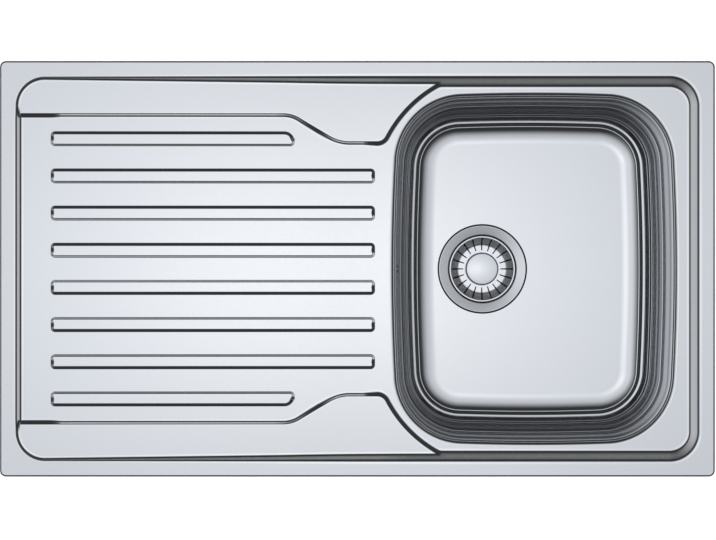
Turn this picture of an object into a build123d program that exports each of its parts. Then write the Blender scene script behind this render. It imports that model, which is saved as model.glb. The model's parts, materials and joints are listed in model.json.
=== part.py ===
from build123d import *
import os
from math import atan, cos, degrees, hypot, radians, sin, tan

# Inset kitchen sink with one bowl and a ribbed drainer, for a cut-out in a worktop.
# Millimetres, +Z up. The origin is the centre of the sink's outline, on the worktop.
# +X points from the drainer to the bowl and -Y to the person at the sink.

# Sheet, rim and outline
SINK_LENGTH = 860.0
SINK_WIDTH = 500.0
OUTER_CORNER_RADIUS = 7.5
SHEET = 0.8
RIM_HEIGHT = 4.0
RIM_BAND = 19.2
EDGE_LIFT = 0.3
EDGE_RADIUS = 2.5
CUTOUT_MARGIN = 10.0

# Recess inside the rim: depths are measured down from the rim
RECESS_CORNER_RADIUS = 35.0
RAMP_ANGLE = 41.7
RAMP_TOP_RADIUS = 2.0
DRAINER_DEPTH = 5.0
LEDGE_DEPTH = 9.6
WING_STEP = 2.7

# Wings beside the drainer: bands run in from the recess, distances left from the bowl
WING_BAND = 43.8
WAIST_BAND = 77.45
SHOULDER_START = 123.4
SHOULDER_END = 67.1
SHOULDER_RADIUS = 37.0
WAIST_RADIUS = 48.0
NOSE_RADIUS = 11.7
SURROUND_RADIUS = 153.85
SURROUND_CENTRE_IN = 125.8
SURROUND_CENTRE_DOWN = 142.5

# Raised ribs on the drainer, sizes at the foot of the rib
RIB_COUNT = 8
RIB_WIDTH = 17.5
RIB_HEIGHT = 2.6
RIB_SIDE_RUN = 3.4
RIB_CORNER_RADIUS = 5.0
RIB_CUT_RADIUS = 12.0
RIB_EDGE_MARGIN = 30.25
RIB_FAR_MARGIN = 41.0
RIB_NEAR_MARGIN = 23.7
RIB_SHORT_MARGIN = 119.0

# Bowl, sizes at the sharp corner of ledge and wall
BOWL_LENGTH = 337.6
BOWL_END_MARGIN = 47.7
BOWL_SIDE_MARGIN = 41.6
BOWL_BOW = 2.0
BOWL_CORNER_RADIUS = 78.0
BOWL_DEPTH = 160.0
BOWL_DRAFT = 16.0
BOWL_FLOOR_RADIUS = 38.0
BOWL_LIP_RADIUS = 5.0
BOWL_FLANGE = 7.0
LEVEL_MARGIN = 3.0

# Waste in the bowl floor: heights below the floor
WASTE_OFFSET = 55.5
WASTE_HOLE_RADIUS = 46.0
SEAT_DEPTH = 3.2
SEAT_CLEARANCE = 0.6
FLANGE_RADIUS = 56.0
FLANGE_FALL = 1.5
FLANGE_EDGE = 1.4
THROAT_ROUND = 1.2
FLANGE_SHEET = 0.8
THROAT_RADIUS = 42.5
THROAT_DEPTH = 5.0
CUP_WALL_RADIUS = 40.3
CUP_WALL_DEPTH = 24.0
CUP_WALL_TAPER = 1.3
CUP_CONE_DEPTH = 34.0
CUP_NECK_RADIUS = 25.5
CUP_DEPTH = 44.0
CUP_OPENINGS = 6
CUP_OPENING_RADIUS = 6.0
CUP_OPENING_CIRCLE = 16.0
GASKET_INNER_RADIUS = 46.5
GASKET_OUTER_RADIUS = 53.5
BODY_GASKET = 3.0
BODY_GASKET_RADIUS = 56.5

# Strainer basket and stopper
MOVING_GAP = 0.3
BASKET_SHEET = 0.7
BASKET_RIM_RADIUS = 41.7
BASKET_RIM_RISE = 2.2
BASKET_WALL_RADIUS = 39.2
BASKET_FLOOR_RADIUS = 32.0
BASKET_DEPTH = 18.0
BASKET_SLOTS = 20
SLOT_WIDTH = 2.2
SLOT_INNER_RADIUS = 24.0
SLOT_OUTER_RADIUS = 37.0
STEM_RADIUS = 5.0
STEM_CLEARANCE = 0.05
STEM_THREAD_RADIUS = 3.0
CAP_RADIUS = 19.8
CAP_TOP_DEPTH = 6.5
CAP_THICKNESS = 3.4
CAP_CROWN = 1.0
STOPPER_TOP_DEPTH = 27.5
STOPPER_THICKNESS = 5.0
WASHER_RADIUS = 14.0
WASHER_THICKNESS = 1.2
STEM_NUT_FLATS = 10.0
STEM_NUT_HEIGHT = 4.5

# Waste body under the floor
BODY_FLANGE_RADIUS = 58.0
BODY_FLANGE_THICKNESS = 4.0
BODY_BORE_RADIUS = 46.0
BODY_WALL = 2.6
BODY_CONE_LENGTH = 22.0
BODY_NECK_LENGTH = 10.0
TAIL_RADIUS = 23.9
TAIL_BORE_RADIUS = 20.0
TAIL_LENGTH = 26.0
HUB_RADIUS = 9.5
HUB_LENGTH = 18.0
SPIDER_ARMS = 3
SPIDER_THICKNESS = 3.2
INSERT_RADIUS = 5.5
INSERT_LENGTH = 14.0
FIXING_RADIUS = 3.0
FIXING_HEAD_RADIUS = 6.0
FIXING_HEAD_HEIGHT = 3.4
FIXING_REACH = 13.0

# Overflow in the bowl's left wall
OVERFLOW_DEPTH = 32.0
OVERFLOW_HOLES = 5
OVERFLOW_PITCH = 10.4
OVERFLOW_HOLE_RADIUS = 3.7
OVERFLOW_GASKET = 2.0
OVERFLOW_BOX_WIDTH = 66.0
OVERFLOW_BOX_HEIGHT = 34.0
OVERFLOW_BOX_DEPTH = 28.0
OVERFLOW_BOX_WALL = 2.2
OVERFLOW_RIM = 5.0
OVERFLOW_BOSS_RADIUS = 4.6
OVERFLOW_SCREW_RADIUS = 2.0
OVERFLOW_HEAD_RADIUS = 4.4
OVERFLOW_HEAD_HEIGHT = 2.4
SOCKET_LENGTH = 22.0
PIPE_RADIUS = 10.5
PIPE_WALL = 1.6
PIPE_CLEARANCE = 0.2
PIPE_BEND_RADIUS = 30.0
PIPE_ENTRY = 18.0
INLET_DEPTH = 31.0
INLET_LENGTH = 26.0
INLET_WALL = 3.0
PIPE_SEAL_LENGTH = 3.0
PIPE_NUT_WALL = 3.0
PIPE_NUT_GRIP = 12.0

# Seal under the rim and pads against drumming
SEAL_WIDTH = 6.5
SEAL_INSET = 0.6
PAD_THICKNESS = 2.0
DRAINER_PAD_LENGTH = 300.0
DRAINER_PAD_WIDTH = 240.0
BOWL_PAD_LENGTH = 84.0
BOWL_PAD_WIDTH = 200.0
PAD_CORNER_RADIUS = 12.0
PAD_GAP = 14.0

# Worktop clamps under the rim: heights are measured down from the worktop
CLAMP_END_MARGIN = 130.0
LUG_SHEET = 1.5
LUG_WIDTH = 24.0
LUG_DROP = 34.0
LUG_EDGE_GAP = 0.6
LUG_REACH = 20.0
CLAMP_IN = 28.0
COLLAR_RADIUS = 5.0
COLLAR_HEIGHT = 6.0
CLAMP_SCREW_RADIUS = 2.5
CLAMP_SCREW_TOP = 25.0
CLAMP_SCREW_CLEARANCE = 0.06
CLAMP_HEAD_RADIUS = 4.6
CLAMP_HEAD_HEIGHT = 3.6
CLAW_DROP = 59.0
CLAW_SHEET = 2.0
CLAW_HUB_RADIUS = 8.0
CLAW_REACH = 40.0
CLAW_TIP_HEIGHT = 14.0
CLAW_NOTCH = 3.0

# Places worked out from the sizes above
half_length = SINK_LENGTH / 2
half_width = SINK_WIDTH / 2
clamp_pitch = half_length - CLAMP_END_MARGIN
rim_under = RIM_HEIGHT - SHEET
recess_length = SINK_LENGTH - 2 * RIM_BAND
recess_width = SINK_WIDTH - 2 * RIM_BAND
recess_left = -recess_length / 2
recess_back = recess_width / 2
ledge_z = RIM_HEIGHT - LEDGE_DEPTH
ledge_under = ledge_z - SHEET
bowl_width = SINK_WIDTH - 2 * BOWL_SIDE_MARGIN
bowl_x = half_length - BOWL_END_MARGIN - BOWL_LENGTH / 2
bowl_left = bowl_x - BOWL_LENGTH / 2
level_x = bowl_left - BOWL_FLANGE - LEVEL_MARGIN
drainer_fall = (LEDGE_DEPTH - DRAINER_DEPTH) / (level_x - recess_left)
floor_z = ledge_z - BOWL_DEPTH
floor_under = floor_z - SHEET
waste_x = bowl_x - WASTE_OFFSET
seat_z = floor_z - SEAT_DEPTH
seat_under = seat_z - SHEET
ramp_run = 1 / tan(radians(RAMP_ANGLE))
waste_axis = Axis((waste_x, 0, 0), (0, 0, 1))
waste_section = Plane(origin=(waste_x, 0, floor_z), x_dir=(1, 0, 0), z_dir=(0, -1, 0))


def wing_depth(x):
    """Depth of the wing below the rim at a place along the sink."""
    return LEDGE_DEPTH - WING_STEP - drainer_fall * max(level_x - x, 0)


def sheet_section(points, thickness):
    """Closed outline of a bent sheet: the given line and its offset to the right."""
    normals = []
    for (r0, z0), (r1, z1) in zip(points, points[1:]):
        run = hypot(r1 - r0, z1 - z0)
        normals.append(((z1 - z0) / run, -(r1 - r0) / run))
    back = []
    for i, (r, z) in enumerate(points):
        before = normals[max(i - 1, 0)]
        after = normals[min(i, len(normals) - 1)]
        share = thickness / (1 + before[0] * after[0] + before[1] * after[1])
        back.append((r + share * (before[0] + after[0]), z + share * (before[1] + after[1])))
    return list(points) + back[::-1]


def bowl_outline(grow):
    """Bowl outline with slightly bowed sides, grown or shrunk by one amount."""
    x = BOWL_LENGTH / 2 + grow
    y = bowl_width / 2 + grow
    signs = [(-1, -1), (1, -1), (1, 1), (-1, 1)]
    corners = [(bowl_x + i * (x - BOWL_BOW), j * (y - BOWL_BOW)) for i, j in signs]
    bows = [(bowl_x, -y), (bowl_x + x, 0), (bowl_x, y), (bowl_x - x, 0)]
    with BuildSketch() as outline:
        with BuildLine():
            for start, bow, end in zip(corners, bows, corners[1:] + corners[:1]):
                ThreePointArc(start, bow, end)
        make_face()
        fillet(outline.vertices(), BOWL_CORNER_RADIUS + grow)
    return outline.sketch


def wing_outline():
    """Outline of the rear wing where its ramp, carried up, would meet the rim."""
    start_x = bowl_left - SHOULDER_START
    end_x = bowl_left - SHOULDER_END
    centre = (bowl_left + SURROUND_CENTRE_IN, recess_back - SURROUND_CENTRE_DOWN)
    far_y = recess_back - WING_BAND + wing_depth(recess_left) * ramp_run
    start_y = recess_back - WING_BAND + wing_depth(start_x) * ramp_run
    end_y = recess_back - WAIST_BAND + wing_depth(end_x) * ramp_run
    near_y = recess_back - WAIST_BAND + wing_depth(level_x) * ramp_run
    over = recess_back + RIM_BAND
    with BuildSketch() as outline:
        with BuildLine():
            Polyline(
                (recess_left, far_y),
                (start_x, start_y),
                (end_x, end_y),
                (level_x, near_y),
                (centre[0], near_y),
                (centre[0], over),
                (recess_left, over),
                close=True,
            )
        make_face()
        with Locations(centre):
            Circle(SURROUND_RADIUS + wing_depth(level_x) * ramp_run, mode=Mode.SUBTRACT)
        shoulder = outline.vertices().sort_by_distance((start_x, start_y))[0]
        fillet(shoulder, SHOULDER_RADIUS + wing_depth(start_x) * ramp_run)
        waist = outline.vertices().sort_by_distance((end_x, end_y))[0]
        fillet(waist, WAIST_RADIUS - wing_depth(end_x) * ramp_run)
        nose = outline.vertices().filter_by_position(Axis.Y, 0, near_y + SHEET).sort_by(Axis.X)[-1]
        fillet(nose, NOSE_RADIUS - wing_depth(level_x) * ramp_run)
    return outline.sketch


def lower_outline():
    """Drainer and bowl surround: the recess without its two wings."""
    rear = wing_outline()
    with BuildSketch() as outline:
        RectangleRounded(recess_length, recess_width, RECESS_CORNER_RADIUS)
        add(rear, mode=Mode.SUBTRACT)
        add(mirror(rear, about=Plane.XZ, mode=Mode.PRIVATE), mode=Mode.SUBTRACT)
    return outline.sketch


def recess_outline():
    """Whole recess inside the rim."""
    with BuildSketch() as outline:
        RectangleRounded(recess_length, recess_width, RECESS_CORNER_RADIUS)
    return outline.sketch


def sunk_body(outline, grow, far_depth, near_depth):
    """Body of a sunk area with ramped sides and a floor that falls toward the bowl."""
    with BuildPart() as body:
        with BuildSketch(Plane.XY.offset(-RIM_HEIGHT)) as foot:
            add(outline)
            if grow > 0:
                offset(amount=grow, kind=Kind.INTERSECTION, mode=Mode.REPLACE)
        extrude(amount=near_depth + 2 * SHEET, taper=90 - RAMP_ANGLE)
        mirror(about=Plane.XY, mode=Mode.REPLACE)
        with BuildSketch(Plane.XZ):
            with BuildLine():
                Polyline(
                    (recess_left, RIM_HEIGHT - far_depth),
                    (level_x, RIM_HEIGHT - near_depth),
                    (half_length, RIM_HEIGHT - near_depth),
                    (half_length, 2 * RIM_HEIGHT),
                    (-half_length, 2 * RIM_HEIGHT),
                    (-half_length, RIM_HEIGHT - far_depth + drainer_fall * RIM_BAND),
                    close=True,
                )
            make_face()
        extrude(amount=half_width, both=True, mode=Mode.INTERSECT)
    return body.part


def rib_bodies(shrink, drop):
    """All ribs as bodies on a plane parallel to the drainer floor, shrunk and dropped for the inside."""
    far_x = recess_left + RIB_FAR_MARGIN + shrink
    long_x = bowl_left - RIB_NEAR_MARGIN - shrink
    short_x = bowl_left - RIB_SHORT_MARGIN - shrink
    width = RIB_WIDTH - 2 * shrink
    span = recess_back - WING_BAND - RIB_EDGE_MARGIN
    drainer = Plane(
        origin=(level_x, 0, ledge_z - drop),
        x_dir=(1, 0, -drainer_fall),
        z_dir=(drainer_fall, 0, 1),
    )
    with BuildPart() as ribs:
        with BuildSketch(drainer):
            for i in range(RIB_COUNT):
                y = span * (2 * i / (RIB_COUNT - 1) - 1)
                outer = i in (0, RIB_COUNT - 1)
                near_x = short_x if outer else long_x
                with BuildSketch(mode=Mode.PRIVATE) as rib:
                    with Locations(((far_x + near_x) / 2 - level_x, y)):
                        Rectangle(near_x - far_x, width)
                    side = 1 if y > 0 else -1
                    corner = (near_x - level_x, y + side * width / 2)
                    ordered = rib.vertices().sort_by_distance(corner)
                    fillet(ordered[1:], RIB_CORNER_RADIUS - shrink / 2)
                    cut = RIB_CUT_RADIUS if outer else RIB_CORNER_RADIUS
                    fillet(rib.vertices().sort_by_distance(corner)[0], cut - shrink / 2)
                add(rib.sketch)
        extrude(amount=RIB_HEIGHT, taper=degrees(atan(RIB_SIDE_RUN / RIB_HEIGHT)))
    return ribs.part


def ring(outer, inner, bottom, top):
    """Plain ring, or disc, about the waste's axis."""
    with BuildPart() as body:
        with BuildSketch(Plane.XY.offset(bottom)):
            with Locations((waste_x, 0)):
                Circle(outer)
                if inner > 0:
                    Circle(inner, mode=Mode.SUBTRACT)
        extrude(amount=top - bottom)
    return body.part


def turned(points):
    """Body turned about the waste's axis: radius and height above the bowl floor."""
    with BuildPart() as body:
        with BuildSketch(waste_section):
            with BuildLine():
                Polyline(*points, close=True)
            make_face()
        revolve(axis=waste_axis)
    return body.part


os.makedirs("parts", exist_ok=True)

# Deck: rim with turned-down edge, sunk recess, wings, drainer and ribs in one sheet
rib_slope = atan(RIB_HEIGHT / RIB_SIDE_RUN)
rib_shrink = SHEET * (1 / cos(rib_slope) - 1) / tan(rib_slope)
ramp_grow = SHEET / sin(radians(RAMP_ANGLE))
far_wing = wing_depth(recess_left)
near_wing = wing_depth(level_x)

wing_shell = sunk_body(recess_outline(), ramp_grow, far_wing + SHEET, near_wing + SHEET)
wing_space = sunk_body(recess_outline(), 0, far_wing, near_wing)
drainer_shell = sunk_body(lower_outline(), ramp_grow, DRAINER_DEPTH + SHEET, LEDGE_DEPTH + SHEET)
drainer_space = sunk_body(lower_outline(), 0, DRAINER_DEPTH, LEDGE_DEPTH)
rib_shell = rib_bodies(0, 0)
rib_space = rib_bodies(rib_shrink, SHEET)
bowl_seam = bowl_outline(BOWL_FLANGE)

with BuildPart() as rim_space:
    with BuildSketch(Plane.XY.offset(EDGE_LIFT)):
        RectangleRounded(SINK_LENGTH - 2 * SHEET, SINK_WIDTH - 2 * SHEET, OUTER_CORNER_RADIUS - SHEET)
    extrude(amount=rim_under - EDGE_LIFT)
    fillet(rim_space.faces().sort_by(Axis.Z)[-1].edges(), EDGE_RADIUS - SHEET)

with BuildPart() as deck:
    with BuildSketch(Plane.XY.offset(EDGE_LIFT)):
        RectangleRounded(SINK_LENGTH, SINK_WIDTH, OUTER_CORNER_RADIUS)
    extrude(amount=RIM_HEIGHT - EDGE_LIFT)
    fillet(deck.faces().sort_by(Axis.Z)[-1].edges(), EDGE_RADIUS)
    add(rim_space.part, mode=Mode.SUBTRACT)
    add(wing_shell)
    add(drainer_shell)
    add(wing_space, mode=Mode.SUBTRACT)
    add(drainer_space, mode=Mode.SUBTRACT)
    add(rib_shell)
    add(rib_space, mode=Mode.SUBTRACT)
    rim_face = deck.faces().filter_by(Plane.XY).sort_by(Axis.Z)[-1]
    fillet(rim_face.inner_wires()[0].edges(), RAMP_TOP_RADIUS)
    with BuildSketch(Plane.XY.offset(ledge_under - SHEET)):
        add(bowl_seam)
    extrude(amount=4 * SHEET, mode=Mode.SUBTRACT)
deck.part.label = "deck"
export_step(deck.part, "parts/deck.step")

# Bowl: drawn pan with a rolled lip, its flange welded flush into the deck
wall_slope = atan(BOWL_DRAFT / BOWL_DEPTH)
overflow_run = OVERFLOW_DEPTH * tan(wall_slope)
overflow_wall = Plane(
    origin=(bowl_left + overflow_run - SHEET, 0, ledge_z - OVERFLOW_DEPTH),
    x_dir=(0, 1, 0),
    z_dir=(-cos(wall_slope), 0, -sin(wall_slope)),
)
overflow_places = [(OVERFLOW_PITCH * (i - (OVERFLOW_HOLES - 1) / 2), 0) for i in range(OVERFLOW_HOLES)]


def bowl_body(grow, drop):
    """Body of the bowl: grown by the sheet for the outside, not grown for the inside."""
    upper = bowl_outline(grow)
    lower = bowl_outline(grow - BOWL_DRAFT)
    with BuildPart() as body:
        with BuildSketch(Plane.XY.offset(ledge_z)):
            add(upper)
        with BuildSketch(Plane.XY.offset(floor_z - drop)):
            add(lower)
        loft(ruled=True)
        fillet(body.faces().sort_by(Axis.Z)[0].edges(), BOWL_FLOOR_RADIUS + grow)
    return body.part


bowl_outside = bowl_body(SHEET, SHEET)
bowl_inside = bowl_body(0, 0)

with BuildPart() as bowl:
    add(bowl_outside)
    with BuildSketch(Plane.XY.offset(ledge_under)):
        add(bowl_seam)
    extrude(amount=SHEET)
    level_faces = bowl.faces().filter_by(Plane.XY).sort_by(Axis.Z)
    flange_under = level_faces[-2]
    fillet(flange_under.inner_wires()[0].edges(), BOWL_LIP_RADIUS - SHEET)
    add(ring(FLANGE_RADIUS + SEAT_CLEARANCE + SHEET, 0, seat_under, floor_under))
    add(bowl_inside, mode=Mode.SUBTRACT)
    flange_top = bowl.faces().filter_by(Plane.XY).sort_by(Axis.Z)[-1]
    fillet(flange_top.inner_wires()[0].edges(), BOWL_LIP_RADIUS)
    add(ring(FLANGE_RADIUS + SEAT_CLEARANCE, 0, seat_z, floor_z), mode=Mode.SUBTRACT)
    add(ring(WASTE_HOLE_RADIUS, 0, seat_under, seat_z), mode=Mode.SUBTRACT)
    with BuildSketch(overflow_wall):
        with Locations(*overflow_places):
            Circle(OVERFLOW_HOLE_RADIUS)
    extrude(amount=4 * SHEET, both=True, mode=Mode.SUBTRACT)
bowl.part.label = "bowl"
export_step(bowl.part, "parts/bowl.step")

# Seal strip under the rim, bearing on the worktop around the cut-out
seal_in = CUTOUT_MARGIN - SEAL_INSET
seal_out = seal_in - SEAL_WIDTH
seal_corner = OUTER_CORNER_RADIUS - seal_out

with BuildPart() as rim_seal:
    with BuildSketch():
        RectangleRounded(SINK_LENGTH - 2 * seal_out, SINK_WIDTH - 2 * seal_out, seal_corner)
        Rectangle(SINK_LENGTH - 2 * seal_in, SINK_WIDTH - 2 * seal_in, mode=Mode.SUBTRACT)
    extrude(amount=rim_under)
rim_seal.part.label = "rim_seal"
export_step(rim_seal.part, "parts/rim_seal.step")

# Pad stuck under the drainer
drainer_under = Plane(
    origin=(level_x, 0, ledge_under),
    x_dir=(1, 0, -drainer_fall),
    z_dir=(drainer_fall, 0, 1),
)
rib_middle = (recess_left + RIB_FAR_MARGIN + bowl_left - RIB_NEAR_MARGIN) / 2

with BuildPart() as drainer_pad:
    with BuildSketch(drainer_under):
        with Locations((rib_middle - level_x, 0)):
            RectangleRounded(DRAINER_PAD_LENGTH, DRAINER_PAD_WIDTH, PAD_CORNER_RADIUS)
    extrude(amount=-PAD_THICKNESS)
drainer_pad.part.label = "drainer_pad"
export_step(drainer_pad.part, "parts/drainer_pad.step")

# Pad stuck under the bowl floor, beside the waste
with BuildPart() as bowl_pad:
    with BuildSketch(Plane.XY.offset(floor_under)):
        with Locations((waste_x + FLANGE_RADIUS + PAD_GAP + BOWL_PAD_LENGTH / 2, 0)):
            RectangleRounded(BOWL_PAD_LENGTH, BOWL_PAD_WIDTH, PAD_CORNER_RADIUS)
    extrude(amount=-PAD_THICKNESS)
bowl_pad.part.label = "bowl_pad"
export_step(bowl_pad.part, "parts/bowl_pad.step")

# Strainer flange: pressed ring with a cup that narrows to a cone for the stopper
cone_slope = (CUP_WALL_RADIUS - CUP_WALL_TAPER - CUP_NECK_RADIUS) / (CUP_CONE_DEPTH - CUP_WALL_DEPTH)
flange_slope = FLANGE_FALL / (FLANGE_RADIUS - FLANGE_EDGE - THROAT_RADIUS - THROAT_ROUND)
flange_line = [
    (FIXING_RADIUS + PIPE_CLEARANCE, -CUP_DEPTH),
    (CUP_NECK_RADIUS, -CUP_DEPTH),
    (CUP_NECK_RADIUS, -CUP_CONE_DEPTH),
    (CUP_WALL_RADIUS - CUP_WALL_TAPER, -CUP_WALL_DEPTH),
    (CUP_WALL_RADIUS, -THROAT_DEPTH),
    (THROAT_RADIUS, -THROAT_DEPTH),
    (THROAT_RADIUS, -FLANGE_FALL - THROAT_ROUND),
    (THROAT_RADIUS + THROAT_ROUND, -FLANGE_FALL),
    (FLANGE_RADIUS - FLANGE_EDGE, 0),
    (FLANGE_RADIUS, -FLANGE_EDGE),
]

with BuildPart() as strainer_flange:
    add(turned(sheet_section(flange_line, FLANGE_SHEET)))
    with BuildSketch(Plane.XY.offset(floor_z - CUP_DEPTH)):
        with Locations((waste_x, 0)):
            with PolarLocations(CUP_OPENING_CIRCLE, CUP_OPENINGS):
                Circle(CUP_OPENING_RADIUS)
    extrude(amount=-FLANGE_SHEET, mode=Mode.SUBTRACT)
strainer_flange.part.label = "strainer_flange"
export_step(strainer_flange.part, "parts/strainer_flange.step")


def flange_under_height(radius):
    """Height of the flange's underside above the bowl floor at a radius."""
    rise = (radius - THROAT_RADIUS - THROAT_ROUND) * flange_slope
    return rise - FLANGE_FALL - FLANGE_SHEET * hypot(1, flange_slope)


# Gasket between the flange and its seat in the bowl floor
with BuildPart() as flange_gasket:
    add(
        turned(
            [
                (GASKET_INNER_RADIUS, -SEAT_DEPTH),
                (GASKET_OUTER_RADIUS, -SEAT_DEPTH),
                (GASKET_OUTER_RADIUS, flange_under_height(GASKET_OUTER_RADIUS)),
                (GASKET_INNER_RADIUS, flange_under_height(GASKET_INNER_RADIUS)),
            ]
        )
    )
flange_gasket.part.label = "flange_gasket"
export_step(flange_gasket.part, "parts/flange_gasket.step")

# Gasket between the bowl floor and the waste body
with BuildPart() as body_gasket:
    add(ring(BODY_GASKET_RADIUS, GASKET_INNER_RADIUS, seat_under - BODY_GASKET, seat_under))
body_gasket.part.label = "body_gasket"
export_step(body_gasket.part, "parts/body_gasket.step")

# Waste body: flanged cup, cone and threaded tail, with a hub on spider arms and a side inlet
body_top = -SEAT_DEPTH - SHEET - BODY_GASKET
hub_top = -CUP_DEPTH - FLANGE_SHEET
cone_bottom = hub_top - BODY_CONE_LENGTH
tail_top = cone_bottom - BODY_NECK_LENGTH
tail_bottom = tail_top - TAIL_LENGTH
body_radius = BODY_BORE_RADIUS + BODY_WALL
neck_radius = TAIL_BORE_RADIUS + BODY_WALL
inlet_bore = PIPE_RADIUS + PIPE_CLEARANCE
inlet_radius = inlet_bore + INLET_WALL
inlet_end = waste_x - body_radius - INLET_LENGTH
inlet_z = floor_z - INLET_DEPTH
inlet_face = Plane(origin=(inlet_end, 0, inlet_z), x_dir=(0, 1, 0), z_dir=(1, 0, 0))

waste_outside = turned(
    [
        (0, body_top),
        (BODY_FLANGE_RADIUS, body_top),
        (BODY_FLANGE_RADIUS, body_top - BODY_FLANGE_THICKNESS),
        (body_radius, body_top - BODY_FLANGE_THICKNESS),
        (body_radius, hub_top),
        (neck_radius, cone_bottom),
        (neck_radius, tail_top),
        (TAIL_RADIUS, tail_top),
        (TAIL_RADIUS, tail_bottom),
        (0, tail_bottom),
    ]
)
waste_space = turned(
    [
        (0, body_top),
        (BODY_BORE_RADIUS, body_top),
        (BODY_BORE_RADIUS, hub_top),
        (TAIL_BORE_RADIUS, cone_bottom),
        (TAIL_BORE_RADIUS, tail_bottom),
        (0, tail_bottom),
    ]
)

with BuildPart() as spider:
    with BuildSketch(Plane.XY.offset(floor_z + hub_top - HUB_LENGTH)):
        with Locations((waste_x, 0)):
            Circle(HUB_RADIUS)
            with PolarLocations(BODY_BORE_RADIUS / 2, SPIDER_ARMS):
                Rectangle(BODY_BORE_RADIUS, SPIDER_THICKNESS)
    extrude(amount=HUB_LENGTH)
    add(waste_outside, mode=Mode.INTERSECT)

with BuildPart() as waste_body:
    add(waste_outside)
    with BuildSketch(inlet_face):
        Circle(inlet_radius)
    extrude(amount=INLET_LENGTH + BODY_WALL)
    add(waste_space, mode=Mode.SUBTRACT)
    add(spider.part)
    with BuildSketch(inlet_face):
        Circle(inlet_bore)
    extrude(amount=INLET_LENGTH + 4 * BODY_WALL, mode=Mode.SUBTRACT)
    add(ring(INSERT_RADIUS, 0, floor_z + hub_top - INSERT_LENGTH, floor_z + hub_top), mode=Mode.SUBTRACT)
waste_body.part.label = "waste_body"
export_step(waste_body.part, "parts/waste_body.step")

# Brass insert in the hub
with BuildPart() as hub_insert:
    add(ring(INSERT_RADIUS, FIXING_RADIUS, floor_z + hub_top - INSERT_LENGTH, floor_z + hub_top))
hub_insert.part.label = "hub_insert"
export_step(hub_insert.part, "parts/hub_insert.step")

# Screw that draws the flange and the waste body together
with BuildPart() as fixing_screw:
    add(ring(FIXING_HEAD_RADIUS, 0, floor_z - CUP_DEPTH, floor_z - CUP_DEPTH + FIXING_HEAD_HEIGHT))
    fillet(fixing_screw.faces().sort_by(Axis.Z)[-1].edges(), FIXING_HEAD_HEIGHT / 3)
    add(ring(FIXING_RADIUS, 0, floor_z + hub_top - FIXING_REACH, floor_z - CUP_DEPTH))
    with BuildSketch(Plane.XY.offset(floor_z - CUP_DEPTH + FIXING_HEAD_HEIGHT)):
        with Locations((waste_x, 0)):
            Rectangle(FIXING_RADIUS * 2.4, FIXING_RADIUS / 2)
            Rectangle(FIXING_RADIUS / 2, FIXING_RADIUS * 2.4)
    extrude(amount=-FIXING_HEAD_HEIGHT / 2, mode=Mode.SUBTRACT)
fixing_screw.part.label = "fixing_screw"
export_step(fixing_screw.part, "parts/fixing_screw.step")

# Strainer basket: slotted pan with a rolled rim, hung on the ledge of the flange
basket_line = [
    (STEM_RADIUS + STEM_CLEARANCE, -BASKET_DEPTH),
    (BASKET_FLOOR_RADIUS, -BASKET_DEPTH),
    (BASKET_WALL_RADIUS, BASKET_RIM_RISE - THROAT_DEPTH),
    (BASKET_RIM_RADIUS, BASKET_SHEET + MOVING_GAP - THROAT_DEPTH),
]

with BuildPart() as strainer_basket:
    add(turned(sheet_section(basket_line, BASKET_SHEET)))
    with BuildSketch(Plane.XY.offset(floor_z - BASKET_DEPTH - BASKET_SHEET)):
        with Locations((waste_x, 0)):
            with PolarLocations((SLOT_INNER_RADIUS + SLOT_OUTER_RADIUS) / 2, BASKET_SLOTS):
                SlotOverall(SLOT_OUTER_RADIUS - SLOT_INNER_RADIUS, SLOT_WIDTH)
    extrude(amount=BASKET_DEPTH, mode=Mode.SUBTRACT)
strainer_basket.part.label = "strainer_basket"
export_step(strainer_basket.part, "parts/strainer_basket.step")

# Centre cap: finger knob on the stem
cap_foot = STEM_RADIUS + 3 * SHEET
stem_top = -CAP_TOP_DEPTH - CAP_CROWN - CAP_THICKNESS / 2
with BuildPart() as strainer_cap:
    add(
        turned(
            [
                (0, -CAP_TOP_DEPTH),
                (CAP_RADIUS * 0.6, -CAP_TOP_DEPTH - CAP_CROWN * 0.4),
                (CAP_RADIUS - CAP_CROWN, -CAP_TOP_DEPTH - CAP_CROWN),
                (CAP_RADIUS, -CAP_TOP_DEPTH - 2 * CAP_CROWN),
                (CAP_RADIUS, -CAP_TOP_DEPTH - CAP_THICKNESS + CAP_CROWN / 2),
                (CAP_RADIUS - CAP_CROWN / 2, -CAP_TOP_DEPTH - CAP_THICKNESS),
                (cap_foot, -CAP_TOP_DEPTH - CAP_THICKNESS - CAP_CROWN),
                (cap_foot, MOVING_GAP - BASKET_DEPTH),
                (STEM_RADIUS, MOVING_GAP - BASKET_DEPTH),
                (STEM_RADIUS, stem_top),
                (0, stem_top),
            ]
        )
    )
strainer_cap.part.label = "strainer_cap"
export_step(strainer_cap.part, "parts/strainer_cap.step")

# Stem from the cap down to the stopper
washer_top = -STOPPER_TOP_DEPTH - STOPPER_THICKNESS
nut_top = washer_top - WASHER_THICKNESS
nut_bottom = nut_top - STEM_NUT_HEIGHT
with BuildPart() as strainer_stem:
    add(ring(STEM_RADIUS, 0, floor_z - STOPPER_TOP_DEPTH, floor_z + stem_top))
    add(ring(STEM_THREAD_RADIUS, 0, floor_z + nut_bottom - SHEET, floor_z - STOPPER_TOP_DEPTH))
strainer_stem.part.label = "strainer_stem"
export_step(strainer_stem.part, "parts/strainer_stem.step")


def stopper_radius(depth):
    """Radius of the stopper at a depth, just clear of the cone that it closes."""
    cone_radius = CUP_NECK_RADIUS + (CUP_CONE_DEPTH - depth) * cone_slope
    return cone_radius - MOVING_GAP * hypot(1, cone_slope)


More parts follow.
